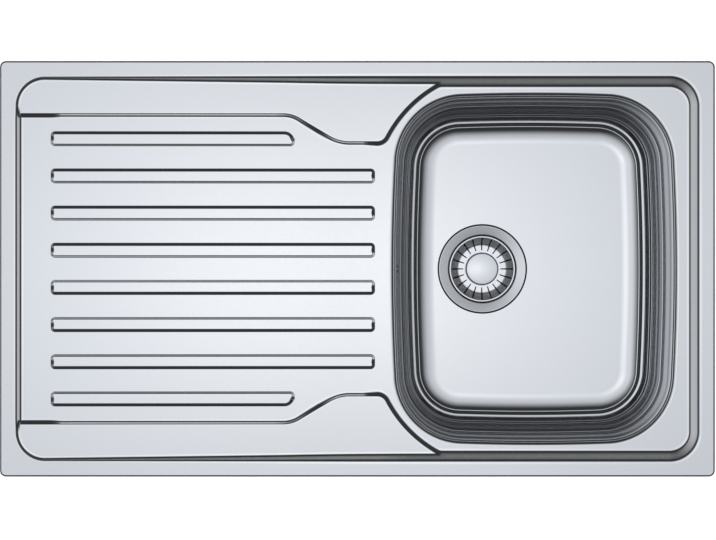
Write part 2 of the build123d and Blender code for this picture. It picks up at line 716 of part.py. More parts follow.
# Rubber stopper on the stem
with BuildPart() as stopper_seal:
    add(
        turned(
            [
                (STEM_THREAD_RADIUS, washer_top),
                (stopper_radius(-washer_top), washer_top),
                (stopper_radius(STOPPER_TOP_DEPTH), -STOPPER_TOP_DEPTH),
                (STEM_THREAD_RADIUS, -STOPPER_TOP_DEPTH),
            ]
        )
    )
stopper_seal.part.label = "stopper_seal"
export_step(stopper_seal.part, "parts/stopper_seal.step")

# Washer under the stopper
with BuildPart() as stopper_washer:
    add(ring(WASHER_RADIUS, STEM_THREAD_RADIUS, floor_z + nut_top, floor_z + washer_top))
stopper_washer.part.label = "stopper_washer"
export_step(stopper_washer.part, "parts/stopper_washer.step")

# Nut at the stem's lower end
with BuildPart() as stem_nut:
    with BuildSketch(Plane.XY.offset(floor_z + nut_bottom)):
        with Locations((waste_x, 0)):
            RegularPolygon(STEM_NUT_FLATS / 2, 6, major_radius=False)
            Circle(STEM_THREAD_RADIUS, mode=Mode.SUBTRACT)
    extrude(amount=STEM_NUT_HEIGHT)
stem_nut.part.label = "stem_nut"
export_step(stem_nut.part, "parts/stem_nut.step")

# Overflow gasket, cut to the outside of the bowl wall
box_open_width = OVERFLOW_BOX_WIDTH - 2 * OVERFLOW_RIM
box_open_height = OVERFLOW_BOX_HEIGHT - 2 * OVERFLOW_RIM

with BuildPart() as overflow_gasket:
    with BuildSketch(overflow_wall.offset(-SHEET)):
        RectangleRounded(OVERFLOW_BOX_WIDTH, OVERFLOW_BOX_HEIGHT, OVERFLOW_RIM)
        Rectangle(box_open_width, box_open_height, mode=Mode.SUBTRACT)
    extrude(amount=OVERFLOW_GASKET + SHEET)
    add(bowl_outside, mode=Mode.SUBTRACT)
overflow_gasket.part.label = "overflow_gasket"
export_step(overflow_gasket.part, "parts/overflow_gasket.step")

# Overflow box behind the holes, with a boss for its screw and a socket for the pipe
box_slim = 2 * (OVERFLOW_RIM - OVERFLOW_BOX_WALL)
box_back = OVERFLOW_GASKET + OVERFLOW_BOX_DEPTH
pipe_x = overflow_wall.origin.X - (OVERFLOW_GASKET + OVERFLOW_BOX_DEPTH / 2)
socket_top = overflow_wall.origin.Z
socket_bottom = socket_top - OVERFLOW_BOX_HEIGHT / 2 - SOCKET_LENGTH

with BuildPart() as overflow_box:
    with BuildSketch(overflow_wall.offset(OVERFLOW_GASKET)):
        RectangleRounded(OVERFLOW_BOX_WIDTH, OVERFLOW_BOX_HEIGHT, OVERFLOW_RIM)
    extrude(amount=OVERFLOW_BOX_WALL)
    with BuildSketch(overflow_wall.offset(OVERFLOW_GASKET)):
        RectangleRounded(OVERFLOW_BOX_WIDTH - box_slim, OVERFLOW_BOX_HEIGHT - box_slim, OVERFLOW_BOX_WALL)
    extrude(amount=OVERFLOW_BOX_DEPTH)
    with BuildSketch(Plane.XY.offset(socket_bottom)):
        with Locations((pipe_x, 0)):
            Circle(PIPE_RADIUS + PIPE_CLEARANCE + OVERFLOW_BOX_WALL)
    extrude(amount=socket_top - socket_bottom)
    with BuildSketch(overflow_wall.offset(OVERFLOW_GASKET)):
        Rectangle(box_open_width, box_open_height)
    extrude(amount=OVERFLOW_BOX_DEPTH - OVERFLOW_BOX_WALL, mode=Mode.SUBTRACT)
    with BuildSketch(Plane.XY.offset(socket_bottom)):
        with Locations((pipe_x, 0)):
            Circle(PIPE_RADIUS + PIPE_CLEARANCE)
    extrude(amount=socket_top - socket_bottom, mode=Mode.SUBTRACT)
    with BuildSketch(overflow_wall.offset(OVERFLOW_GASKET)):
        Circle(OVERFLOW_BOSS_RADIUS)
    extrude(amount=OVERFLOW_BOX_DEPTH)
    with BuildSketch(overflow_wall):
        Circle(OVERFLOW_SCREW_RADIUS)
    extrude(amount=box_back - OVERFLOW_BOX_WALL, mode=Mode.SUBTRACT)
overflow_box.part.label = "overflow_box"
export_step(overflow_box.part, "parts/overflow_box.step")

# Screw through the middle hole of the overflow into the box
with BuildPart() as overflow_screw:
    with BuildSketch(overflow_wall.offset(-SHEET)):
        Circle(OVERFLOW_HEAD_RADIUS)
    extrude(amount=-OVERFLOW_HEAD_HEIGHT)
    head_edges = overflow_screw.faces().sort_by(Axis.X)[-1].edges()
    fillet(head_edges, OVERFLOW_HEAD_HEIGHT / 2)
    with BuildSketch(overflow_wall.offset(-SHEET)):
        Circle(OVERFLOW_SCREW_RADIUS)
    extrude(amount=box_back - OVERFLOW_BOX_WALL)
overflow_screw.part.label = "overflow_screw"
export_step(overflow_screw.part, "parts/overflow_screw.step")

# Rigid overflow pipe from the box down and across to the waste body
pipe_top = socket_bottom + PIPE_ENTRY
pipe_end = inlet_end + PIPE_ENTRY
with BuildPart() as overflow_pipe:
    with BuildLine() as pipe_way:
        down = Line((pipe_x, 0, pipe_top), (pipe_x, 0, inlet_z + PIPE_BEND_RADIUS))
        bend_side = PIPE_BEND_RADIUS * (1 - cos(radians(45)))
        bend_middle = (pipe_x + bend_side, 0, inlet_z + bend_side)
        bend = ThreePointArc(down @ 1, bend_middle, (pipe_x + PIPE_BEND_RADIUS, 0, inlet_z))
        Line(bend @ 1, (pipe_end, 0, inlet_z))
    with BuildSketch(Plane.XY.offset(pipe_top)):
        with Locations((pipe_x, 0)):
            Circle(PIPE_RADIUS)
            Circle(PIPE_RADIUS - PIPE_WALL, mode=Mode.SUBTRACT)
    sweep(path=pipe_way.line)
overflow_pipe.part.label = "overflow_pipe"
export_step(overflow_pipe.part, "parts/overflow_pipe.step")

# Rubber ring between the pipe and the end of the inlet
with BuildPart() as pipe_seal:
    with BuildSketch(inlet_face):
        Circle(inlet_radius)
        Circle(PIPE_RADIUS, mode=Mode.SUBTRACT)
    extrude(amount=-PIPE_SEAL_LENGTH)
pipe_seal.part.label = "pipe_seal"
export_step(pipe_seal.part, "parts/pipe_seal.step")

# Nut that presses the ring onto the inlet
with BuildPart() as pipe_nut:
    with BuildSketch(inlet_face.offset(-PIPE_SEAL_LENGTH - PIPE_NUT_WALL)):
        RegularPolygon(inlet_radius + PIPE_NUT_WALL, 8, major_radius=False)
        Circle(inlet_bore, mode=Mode.SUBTRACT)
    extrude(amount=PIPE_NUT_WALL)
    with BuildSketch(inlet_face.offset(-PIPE_SEAL_LENGTH)):
        RegularPolygon(inlet_radius + PIPE_NUT_WALL, 8, major_radius=False)
        Circle(inlet_radius, mode=Mode.SUBTRACT)
    extrude(amount=PIPE_SEAL_LENGTH + PIPE_NUT_GRIP)
pipe_nut.part.label = "pipe_nut"
export_step(pipe_nut.part, "parts/pipe_nut.step")

# Places of the worktop clamps on the sink's edge, each turned to face outward
clamp_places = []
for step in (-1, 0, 1):
    clamp_places.append(Location((step * clamp_pitch, half_width, 0)))
for step in (1, 0, -1):
    clamp_places.append(Location((step * clamp_pitch, -half_width, 0), (0, 0, 180)))
clamp_places.append(Location((half_length, 0, 0), (0, 0, -90)))
clamp_places.append(Location((-half_length, 0, 0), (0, 0, 90)))

# One lug: foot under the rim, leg down beside the recess, tab with a threaded collar
foot_in = -RIM_BAND + LUG_EDGE_GAP
foot_out = -CUTOUT_MARGIN - LUG_EDGE_GAP
collar_bore = CLAMP_SCREW_RADIUS + CLAMP_SCREW_CLEARANCE
with BuildPart() as lug:
    with BuildSketch(Plane.YZ):
        with BuildLine():
            Polyline(
                (foot_out, rim_under),
                (foot_in, rim_under),
                (foot_in, LUG_SHEET - LUG_DROP),
                (foot_in - LUG_REACH, LUG_SHEET - LUG_DROP),
                (foot_in - LUG_REACH, -LUG_DROP),
                (foot_in + LUG_SHEET, -LUG_DROP),
                (foot_in + LUG_SHEET, rim_under - LUG_SHEET),
                (foot_out, rim_under - LUG_SHEET),
                close=True,
            )
        make_face()
    extrude(amount=LUG_WIDTH / 2, both=True)
    with BuildSketch(Plane.XY.offset(LUG_SHEET - LUG_DROP)):
        with Locations((0, -CLAMP_IN)):
            Circle(COLLAR_RADIUS)
    extrude(amount=COLLAR_HEIGHT)
    with BuildSketch(Plane.XY.offset(-LUG_DROP)):
        with Locations((0, -CLAMP_IN)):
            Circle(collar_bore)
    extrude(amount=LUG_SHEET + COLLAR_HEIGHT, mode=Mode.SUBTRACT)

# All lugs, welded under the rim
with BuildPart() as clamp_lugs:
    with Locations(*clamp_places):
        add(lug.part)
clamp_lugs.part.label = "clamp_lugs"
export_step(clamp_lugs.part, "parts/clamp_lugs.step")

# One clamp screw: shank through the collar, slotted head under the claw
claw_under = -CLAW_DROP - CLAW_SHEET
with BuildPart() as screw:
    with BuildSketch(Plane.XY.offset(claw_under - MOVING_GAP - CLAMP_HEAD_HEIGHT)):
        with Locations((0, -CLAMP_IN)):
            Circle(CLAMP_HEAD_RADIUS)
    extrude(amount=CLAMP_HEAD_HEIGHT)
    with BuildSketch(Plane.XY.offset(claw_under - MOVING_GAP)):
        with Locations((0, -CLAMP_IN)):
            Circle(CLAMP_SCREW_RADIUS)
    extrude(amount=CLAW_DROP + CLAW_SHEET + MOVING_GAP - CLAMP_SCREW_TOP)
    with BuildSketch(Plane.XY.offset(claw_under - MOVING_GAP - CLAMP_HEAD_HEIGHT)):
        with Locations((0, -CLAMP_IN)):
            Rectangle(2 * CLAMP_HEAD_RADIUS, CLAMP_HEAD_HEIGHT / 3)
    extrude(amount=CLAMP_HEAD_HEIGHT / 2, mode=Mode.SUBTRACT)

# One claw, parked along the rim: plate round the screw with an upturned, notched tip
with BuildPart() as claw:
    with BuildSketch(Plane.XY.offset(claw_under)):
        with Locations((0, -CLAMP_IN)):
            Circle(CLAW_HUB_RADIUS)
        with Locations((CLAW_REACH / 2, -CLAMP_IN)):
            Rectangle(CLAW_REACH, 2 * CLAW_HUB_RADIUS)
        with Locations((0, -CLAMP_IN)):
            Circle(collar_bore, mode=Mode.SUBTRACT)
    extrude(amount=CLAW_SHEET)
    with BuildSketch(Plane.XY.offset(-CLAW_DROP)):
        with Locations((CLAW_REACH - CLAW_SHEET / 2, -CLAMP_IN)):
            Rectangle(CLAW_SHEET, 2 * CLAW_HUB_RADIUS)
    extrude(amount=CLAW_TIP_HEIGHT)
    with BuildSketch(Plane.XY.offset(CLAW_TIP_HEIGHT - CLAW_DROP)):
        with Locations((CLAW_REACH - CLAW_SHEET / 2, -CLAMP_IN)):
            Rectangle(CLAW_SHEET, 2 * CLAW_NOTCH)
    extrude(amount=-CLAW_NOTCH, mode=Mode.SUBTRACT)

for number, place in enumerate(clamp_places, start=1):
    clamp_screw = screw.part.moved(place)
    clamp_screw.label = f"clamp_screw_{number}"
    export_step(clamp_screw, f"parts/clamp_screw_{number}.step")
    clamp_claw = claw.part.moved(place)
    clamp_claw.label = f"clamp_claw_{number}"
    export_step(clamp_claw, f"parts/clamp_claw_{number}.step")
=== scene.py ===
import json
import math

import bpy
import numpy as np
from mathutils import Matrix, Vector
from mathutils.geometry import delaunay_2d_cdt


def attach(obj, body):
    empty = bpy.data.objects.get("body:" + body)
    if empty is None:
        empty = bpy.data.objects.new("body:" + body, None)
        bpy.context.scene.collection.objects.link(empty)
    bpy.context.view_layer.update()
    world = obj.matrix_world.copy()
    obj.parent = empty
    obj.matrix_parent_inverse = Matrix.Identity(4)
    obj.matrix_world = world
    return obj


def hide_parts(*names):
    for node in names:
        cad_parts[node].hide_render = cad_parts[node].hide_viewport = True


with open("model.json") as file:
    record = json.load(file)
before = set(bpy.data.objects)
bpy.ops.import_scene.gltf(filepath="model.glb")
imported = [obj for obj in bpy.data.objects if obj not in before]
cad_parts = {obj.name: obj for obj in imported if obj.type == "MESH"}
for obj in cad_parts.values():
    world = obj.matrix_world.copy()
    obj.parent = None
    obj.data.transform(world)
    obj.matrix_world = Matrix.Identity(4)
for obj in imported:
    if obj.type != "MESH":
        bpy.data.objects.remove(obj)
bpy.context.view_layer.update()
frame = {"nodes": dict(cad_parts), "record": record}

# Sizes in millimetres: x runs along the sink toward the bowl, y to its rear, z up from the worktop
MM = 0.001

# Deck: sheet, outline, and the edge that is turned down after a short bevel
SHEET = 0.8
HALF_LENGTH = 430.0
HALF_WIDTH = 250.0
OUTER_CORNER = 7.5
RIM_HEIGHT = 4.0
EDGE_LIFT = 0.3
EDGE_RADIUS = 1.0
EDGE_TURN = 27.0
EDGE_BEVEL = 1.6
EDGE_CREASE = 0.2

# Recess inside the rim: the slopes of its bank, and its depth at the drainer's far end and round the bowl
RIM_BAND = 19.2
RECESS_CORNER = 35.0
END_RAMP = 0.93
DRAINER_RAMP = 0.97
BOWL_RAMP = 0.94
BOWL_RAMP_X = (20.0, 80.0)
RAMP_EASE = 0.006
RAMP_EASE_REACH = 20.0
DRAINER_DEPTH = 5.0
LEDGE_DEPTH = 9.6
LEVEL_X = 4.7
LEVEL_SOFT = 30.0

# Wings: height of their step and its slope, which changes toward the far end, in the neck and at the waist
WING_STEP = 3.1
WING_STEEPNESS = 1.0
FAR_X = (-356.0, -366.0)
FAR_STEEPNESS = 0.76
NECK_X = (-100.0, -40.0)
NECK_STEP = 2.9
NECK_STEEPNESS = 0.68
WAIST_IN_X = (-52.0, -24.0)
WAIST_OUT_X = (20.0, 8.0)
WAIST_STEEPNESS = 0.98

# Edge of the wings, seen from above
WING_Y = 187.0
WAIST_Y = 153.35
SHOULDER_X = -78.7
WAIST_X = -22.4
SHOULDER_RADIUS = 37.0
WAIST_RADIUS = 48.0
NOSE_RADIUS = 11.7
SURROUND_CENTRE = (170.5, 88.3)
SURROUND_RADIUS = 153.85
SURROUND_END_TURN = 91.0

# Ribs of the drainer: the outer two are shorter, with one corner cut back
RIB_COUNT = 8
RIB_SPAN = 156.75
RIB_WIDTH = 17.5
RIB_HEIGHT = 2.2
RIB_OUTER_RUN = 3.3
RIB_INNER_RUN = 2.45
RIB_END_RUN = 3.9
RIB_FAR_X = -369.2
RIB_NEAR_X = 21.0
RIB_SHORT_X = -76.0
RIB_CORNER = 5.0
RIB_CUT_CORNER = 12.0

# Soft edges of the pressed sheet: how far each edge blends to either side
RIM_EDGE_SOFT = 1.15
FOOT_SOFT = 1.3
SOFT_AT_DEPTH = 4.6
SOFT_RANGE = (0.5, 1.5)
WING_TOP_SOFT = 0.55
WING_FOOT_SOFT = 0.95
RIB_SOFT = 0.32
EDGE_SPREAD = 0.15
EDGE_REACH = 2.6

# Bowl: outline at the mouth, with bowed sides, then depth, draft and the floor's shift to the right
BOWL_X = 213.7
BOWL_HALF_LENGTH = 168.7
BOWL_HALF_WIDTH = 208.4
BOWL_END_BOW = 8.1
BOWL_SIDE_BOW = 5.3
BOWL_CORNER = 79.6
BOWL_FLANGE = 6.9
BOWL_DEPTH = 160.0
BOWL_DRAFT = 15.6
BOWL_LEAN = 2.0
BOWL_HEEL_RADIUS = 17.0

# Shallow ripple of the bowl's wall: height, length, and how often the fade at one end fits into the wall
BOWL_RIPPLE = 0.3
BOWL_RIPPLE_LENGTH = 41.0
RIPPLE_FADE = 6

# Arcs of the bowl's lip from the deck down, the last up to the wall: angle that each ends at, and radius
BOWL_LIP = [(4.0, 16.0), (34.0, 6.3), (90.0, 5.2)]

# Arcs of the bowl's foot from its floor upward: angle that each ends at, and radius
BOWL_FOOT = [(2.7, 115.0), (6.5, 85.0), (14.0, 42.0), (30.0, 25.0)]

# Fine steps that drawing leaves in the bowl's wall: height above the floor, and width
BOWL_STEPS = [(154.0, 0.8), (92.0, 0.65), (27.0, 0.45), (15.0, 0.45), (6.8, 2.5), (3.6, 0.6)]

# Length of wall in which a step is made, as a share of the step's width
STEP_RISE = 0.25

# Waste seat in the bowl's floor, with its edge as steps outward and down, and the overflow's row of holes
WASTE_X = 158.0
WASTE_HOLE = 46.0
SEAT_RADIUS = 56.3
SEAT_DEPTH = 3.2
SEAT_ROUND = 0.4
SEAT_EDGE = [(0.25, -0.02), (0.1, -0.12), (0.02, -0.28), (0, -0.5), (0, -2.6), (-0.2, -3.0), (-0.6, -3.2)]
OVERFLOW_DEPTH = 32.0
OVERFLOW_HOLES = 5
OVERFLOW_PITCH = 10.4
OVERFLOW_HOLE = 3.7
OVERFLOW_DRILL = 5.0

# Strainer: flange with its cup, basket with its slots, and cap, with heights from the bowl's floor
FLANGE_SHEET = 0.8
FLANGE_RADIUS = 55.4
FLANGE_EDGE = 1.1
CUP_DEPTH = 44.0
CUP_OPENINGS = 6
CUP_OPENING = 6.0
CUP_OPENING_CIRCLE = 16.0
CUP_DRILL = 3.0
BASKET_SHEET = 0.7
BASKET_DEPTH = 18.0
BASKET_FLAT = 29.2
BASKET_BEND = 6.5
BASKET_SLOTS = 20
SLOT_INNER = 24.0
SLOT_OUTER = 38.2
SLOT_INNER_WIDTH = 1.3
SLOT_OUTER_WIDTH = 2.3
SLOT_HEIGHTS = (-21.0, -3.8)
CAP_RADIUS = 20.8
CAP_TOP = -6.5
CAP_CROWN = 0.5
CAP_EDGE = 2.0

# Mesh lines beside the edges, as distances into the recess, drainer or rib: close where the sheet bends
RECESS_LINES = np.concatenate([
    np.arange(-9.0, -2.0, 0.7),
    np.arange(-2.0, 2.2, 0.22),
    np.arange(2.3, 18.0, 0.5),
])
WING_LINES = np.concatenate([
    [-3.2, -2.5, -2.0, -1.5, -1.1],
    np.arange(-0.8, 6.2, 0.26),
    [6.6, 7.2, 8.0],
])
RIB_LINES = [-0.8, -0.5, -0.25, 0.0, 0.25, 0.5, 0.8, 1.6, 2.3, 2.5, 2.75, 3.0, 3.3, 3.6, 3.9, 4.3]

# Other mesh lines: along the ribs' ends, inside the edge of the bowl's floor, round the waste seat, and
# across the drainer where it turns level
RIB_END_LINES = [-2.4, 0.0, 2.4]
RIB_END_REACH = (1, -5)
FLOOR_LINES = [0.4, 1.2]
SEAT_LINES = [0.6, 1.0, 1.8]
LEVEL_LINE_Y = 225.0
LEVEL_LINE_SPACING = 10.0

# Fineness of the meshes: spacing on straight runs, sides of round pieces and holes, rows of the bowl's wall,
# points on each stretch of the bowl's and the wings' outlines, and the angle from which an edge is sharp
OUTLINE_SPACING = 12.0
RECESS_SPACING = 14.0
RIB_SPACING = 25.0
RIB_TURN_STEP = 9.0
TURNED_SIDES = 144
HOLE_SIDES = 32
WALL_ROWS = 34
STEP_ROWS = np.linspace(-0.4, 1.4, 13)
BOWL_END_POINTS = 12
BOWL_CORNER_POINTS = 31
BOWL_SIDE_POINTS = 11
WING_TURN_STEP = 2.0
WING_TURN_POINTS = 6
WING_OVERLAP = 2.0
SHARP_ANGLE = 40.0

RECESS_HALF_LENGTH = HALF_LENGTH - RIM_BAND
RECESS_HALF_WIDTH = HALF_WIDTH - RIM_BAND
LEDGE_Z = RIM_HEIGHT - LEDGE_DEPTH
FLOOR_Z = LEDGE_Z - BOWL_DEPTH
STEP_RUN = sum(width for _, width in BOWL_STEPS)
WALL_TURN = math.atan2(BOWL_DRAFT, BOWL_DEPTH)
DRAINER_FALL = (LEDGE_DEPTH - DRAINER_DEPTH) / (LEVEL_X + RECESS_HALF_LENGTH)


def soft_max(a, b, soft, spread=0.0):
    """Larger of two heights, with the edge between them rounded.

    A share of the rounding spreads further.
    """
    apart = np.abs(a - b)
    tight = np.clip(soft - apart, 0, None) ** 2 / (4 * soft)
    wide = np.clip(EDGE_REACH * soft - apart, 0, None) ** 2 / (4 * EDGE_REACH * soft)
    return np.maximum(a, b) + (1 - spread) * tight + spread * wide


def soft_min(a, b, soft, spread=0.0):
    """Smaller of two heights, with the edge between them rounded."""
    return -soft_max(-a, -b, soft, spread)


def arc(centre, radius, start, end, count):
    """Points on an arc, angles in degrees."""
    turn = np.radians(np.linspace(start, end, count))
    return np.column_stack([centre[0] + radius * np.cos(turn), centre[1] + radius * np.sin(turn)])


def circle(centre, radius, sides):
    """Points round a circle."""
    return arc(centre, radius, 0, 360, sides + 1)[:-1]


def run(start, end, spacing):
    """Points on a straight run."""
    count = max(2, int(math.dist(start, end) / spacing) + 1)
    return np.linspace(start, end, count)


def rounded_loop(half_x, half_y, radii, spacing, centre=(0.0, 0.0), turn_step=3.0):
    """Closed loop of a rectangle with rounded corners, from the rear right corner round to the left."""
    signs = [(1, 1), (-1, 1), (-1, -1), (1, -1)]
    count = int(90 / turn_step) + 1
    corners = []
    for i, (sx, sy) in enumerate(signs):
        middle = (centre[0] + sx * (half_x - radii[i]), centre[1] + sy * (half_y - radii[i]))
        corners.append(arc(middle, radii[i], 90 * i, 90 * i + 90, count))
    pieces = []
    for corner, after in zip(corners, corners[1:] + corners[:1]):
        pieces.append(corner)
        pieces.append(run(corner[-1], after[0], spacing)[1:-1])
    return np.vstack(pieces)


# Edge of the rear wing, from the drainer's far end to the rear of the bowl. Each piece is a straight run
# or an arc, with the side of the sunk area: 1 where an arc's centre lies in it and -1 where it doesn't.
slope = math.atan2(WING_Y - WAIST_Y, WAIST_X - SHOULDER_X)
shoulder_cut = SHOULDER_RADIUS * math.tan(slope / 2)
waist_cut = WAIST_RADIUS * math.tan(slope / 2)
shoulder_start = (SHOULDER_X - shoulder_cut, WING_Y)
shoulder_end = (SHOULDER_X + shoulder_cut * math.cos(slope), WING_Y - shoulder_cut * math.sin(slope))
waist_start = (WAIST_X - waist_cut * math.cos(slope), WAIST_Y + waist_cut * math.sin(slope))
waist_end = (WAIST_X + waist_cut, WAIST_Y)
nose_y = WAIST_Y + NOSE_RADIUS
nose_rise = nose_y - SURROUND_CENTRE[1]
nose_x = SURROUND_CENTRE[0] - math.sqrt((SURROUND_RADIUS + NOSE_RADIUS) ** 2 - nose_rise**2)
nose_turn = math.degrees(math.atan2(-nose_rise, SURROUND_CENTRE[0] - nose_x))
wing_runs = [
    ((-HALF_LENGTH, WING_Y), shoulder_start),
    (shoulder_end, waist_start),
    (waist_end, (nose_x, WAIST_Y)),
]
wing_arcs = [
    ((shoulder_start[0], WING_Y - SHOULDER_RADIUS), SHOULDER_RADIUS, 90, 90 - math.degrees(slope), 1),
    ((waist_end[0], WAIST_Y + WAIST_RADIUS), WAIST_RADIUS, -90 - math.degrees(slope), -90, -1),
    ((nose_x, nose_y), NOSE_RADIUS, -90, nose_turn, -1),
    (SURROUND_CENTRE, SURROUND_RADIUS, 180 + nose_turn, SURROUND_END_TURN, 1),
]


def wing_inset(x, y):
    """Distance from the wing's edge, positive in the sunk area."""
    best = np.full(np.shape(x), 1e9)
    signed = np.full(np.shape(x), 1e9)
    for (ax, ay), (bx, by) in wing_runs:
        length = math.hypot(bx - ax, by - ay)
        ux, uy = (bx - ax) / length, (by - ay) / length
        along = np.clip((x - ax) * ux + (y - ay) * uy, 0, length)
        apart = np.hypot(x - ax - along * ux, y - ay - along * uy)
        side = np.where((x - ax) * uy - (y - ay) * ux >= 0, 1.0, -1.0)
        nearer = apart < best
        best = np.where(nearer, apart, best)
        signed = np.where(nearer, side * apart, signed)
    for centre, radius, start, end, side in wing_arcs:
        turn = np.degrees(np.arctan2(y - centre[1], x - centre[0]))
        low, high = min(start, end), max(start, end)
        inside = (turn - low) % 360 <= high - low
        gap = side * (radius - np.hypot(x - centre[0], y - centre[1]))
        nearer = inside & (np.abs(gap) < best)
        best = np.where(nearer, np.abs(gap), best)
        signed = np.where(nearer, gap, signed)
    return np.where(x > SURROUND_CENTRE[0], SURROUND_RADIUS, signed)


def wing_edge(inset, side):
    """Line along the wing's edge, moved into the sunk area, for the rear or the front wing."""
    pieces = []
    for i, (centre, radius, start, end, centre_side) in enumerate(wing_arcs):
        if i < len(wing_runs):
            (ax, ay), (bx, by) = wing_runs[i]
            length = math.hypot(bx - ax, by - ay)
            right = np.array([(by - ay) / length, -(bx - ax) / length])
            pieces.append(run((ax, ay), (bx, by), OUTLINE_SPACING) + inset * right)
        count = max(WING_TURN_POINTS, int(abs(end - start) / WING_TURN_STEP))
        pieces.append(arc(centre, radius - centre_side * inset, start, end, count)[1:])
    line = np.vstack(pieces)
    line[:, 1] *= side
    return line[recess_inset(line[:, 0], line[:, 1]) > -WING_OVERLAP]


def recess_inset(x, y):
    """Distance inward from the edge of the recess."""
    across = np.abs(x) - (RECESS_HALF_LENGTH - RECESS_CORNER)
    along = np.abs(y) - (RECESS_HALF_WIDTH - RECESS_CORNER)
    outside = np.hypot(np.maximum(across, 0), np.maximum(along, 0))
    return RECESS_CORNER - outside - np.minimum(np.maximum(across, along), 0)


def rib_frame(i):
    """Middle, half length and corner radii of one rib."""
    y = RIB_SPAN * (2 * i / (RIB_COUNT - 1) - 1)
    outer = i in (0, RIB_COUNT - 1)
    near_x = RIB_SHORT_X if outer else RIB_NEAR_X
    radii = [RIB_CORNER] * 4
    if outer:
        radii[0 if y > 0 else 3] = RIB_CUT_CORNER
    return ((RIB_FAR_X + near_x) / 2, y), (near_x - RIB_FAR_X) / 2, radii


def rib_rise(x, y):
    """Height of the ribs above the drainer's floor."""
    rise = np.zeros(np.shape(x))
    for i in range(RIB_COUNT):
        (cx, cy), half, radii = rib_frame(i)
        px, py = x - cx, y - cy
        rear = np.where(px > 0, radii[0], radii[1])
        front = np.where(px > 0, radii[3], radii[2])
        radius = np.where(py > 0, rear, front)
        across = np.abs(px) - half + radius
        along = np.abs(py) - RIB_WIDTH / 2 + radius
        apart = np.hypot(np.maximum(across, 0), np.maximum(along, 0))
        inset = radius - apart - np.minimum(np.maximum(across, along), 0)
        lean = np.clip(py * np.sign(cy) / (RIB_WIDTH / 2 - RIB_CORNER), -1, 1)
        side_run = (RIB_OUTER_RUN + RIB_INNER_RUN) / 2 + lean * (RIB_OUTER_RUN - RIB_INNER_RUN) / 2
        ends = np.clip((np.abs(px) - half + 2 * RIB_CORNER) / RIB_CORNER, 0, 1) * (1 - lean**2)
        side_run = side_run + ends * (RIB_END_RUN - side_run)
        side = soft_max(inset * RIB_HEIGHT / side_run, 0, RIB_SOFT)
        rise = np.maximum(rise, soft_min(side, RIB_HEIGHT, RIB_SOFT))
    return rise


def eased(value, start, end):
    """Share of the way from start to end, easing in and out."""
    share = np.clip((value - start) / (end - start), 0, 1)
    return share**2 * (3 - 2 * share)


def ramp_height(x, y):
    """Height of the bank that falls from the rim, on over the whole recess.

    Along the sides it flattens lower down.
    """
    across = np.maximum(np.abs(x) - (RECESS_HALF_LENGTH - RECESS_CORNER), 0) ** 2
    along = np.maximum(np.abs(y) - (RECESS_HALF_WIDTH - RECESS_CORNER), 0) ** 2
    end = across / (across + along + 1e-6)
    steep = DRAINER_RAMP + eased(x, *BOWL_RAMP_X) * (BOWL_RAMP - DRAINER_RAMP)
    steep = steep + end * (END_RAMP - steep)
    inset = recess_inset(x, y)
    ease = RAMP_EASE * (1 - end) * np.clip(inset, 0, RAMP_EASE_REACH)
    return RIM_HEIGHT - (steep - ease / 2) * inset


def deck_height(x, y):
    """Height of the deck's upper face."""
    fall = DRAINER_FALL * (LEVEL_X - x)
    floor = RIM_HEIGHT - LEDGE_DEPTH + soft_max(fall, 0, DRAINER_FALL * LEVEL_SOFT)
    neck = eased(x, *NECK_X)
    high = WING_STEP + neck * (NECK_STEP - WING_STEP)
    steep = WING_STEEPNESS + neck * (NECK_STEEPNESS - WING_STEEPNESS)
    steep = steep + eased(x, *FAR_X) * (FAR_STEEPNESS - WING_STEEPNESS)
    waist = eased(x, *WAIST_IN_X) * eased(x, *WAIST_OUT_X)
    steep = steep + waist * (WAIST_STEEPNESS - NECK_STEEPNESS)
    step = soft_max(wing_inset(x, np.abs(y)) * steep, 0, WING_TOP_SOFT, EDGE_SPREAD)
    inner = floor + high - soft_min(step, high, WING_FOOT_SOFT, EDGE_SPREAD) + rib_rise(x, y)
    depth = np.clip((RIM_HEIGHT - inner) / SOFT_AT_DEPTH, *SOFT_RANGE)
    bank = soft_max(ramp_height(x, y), inner, FOOT_SOFT, EDGE_SPREAD)
    return soft_min(bank, RIM_HEIGHT, RIM_EDGE_SOFT * depth, EDGE_SPREAD)


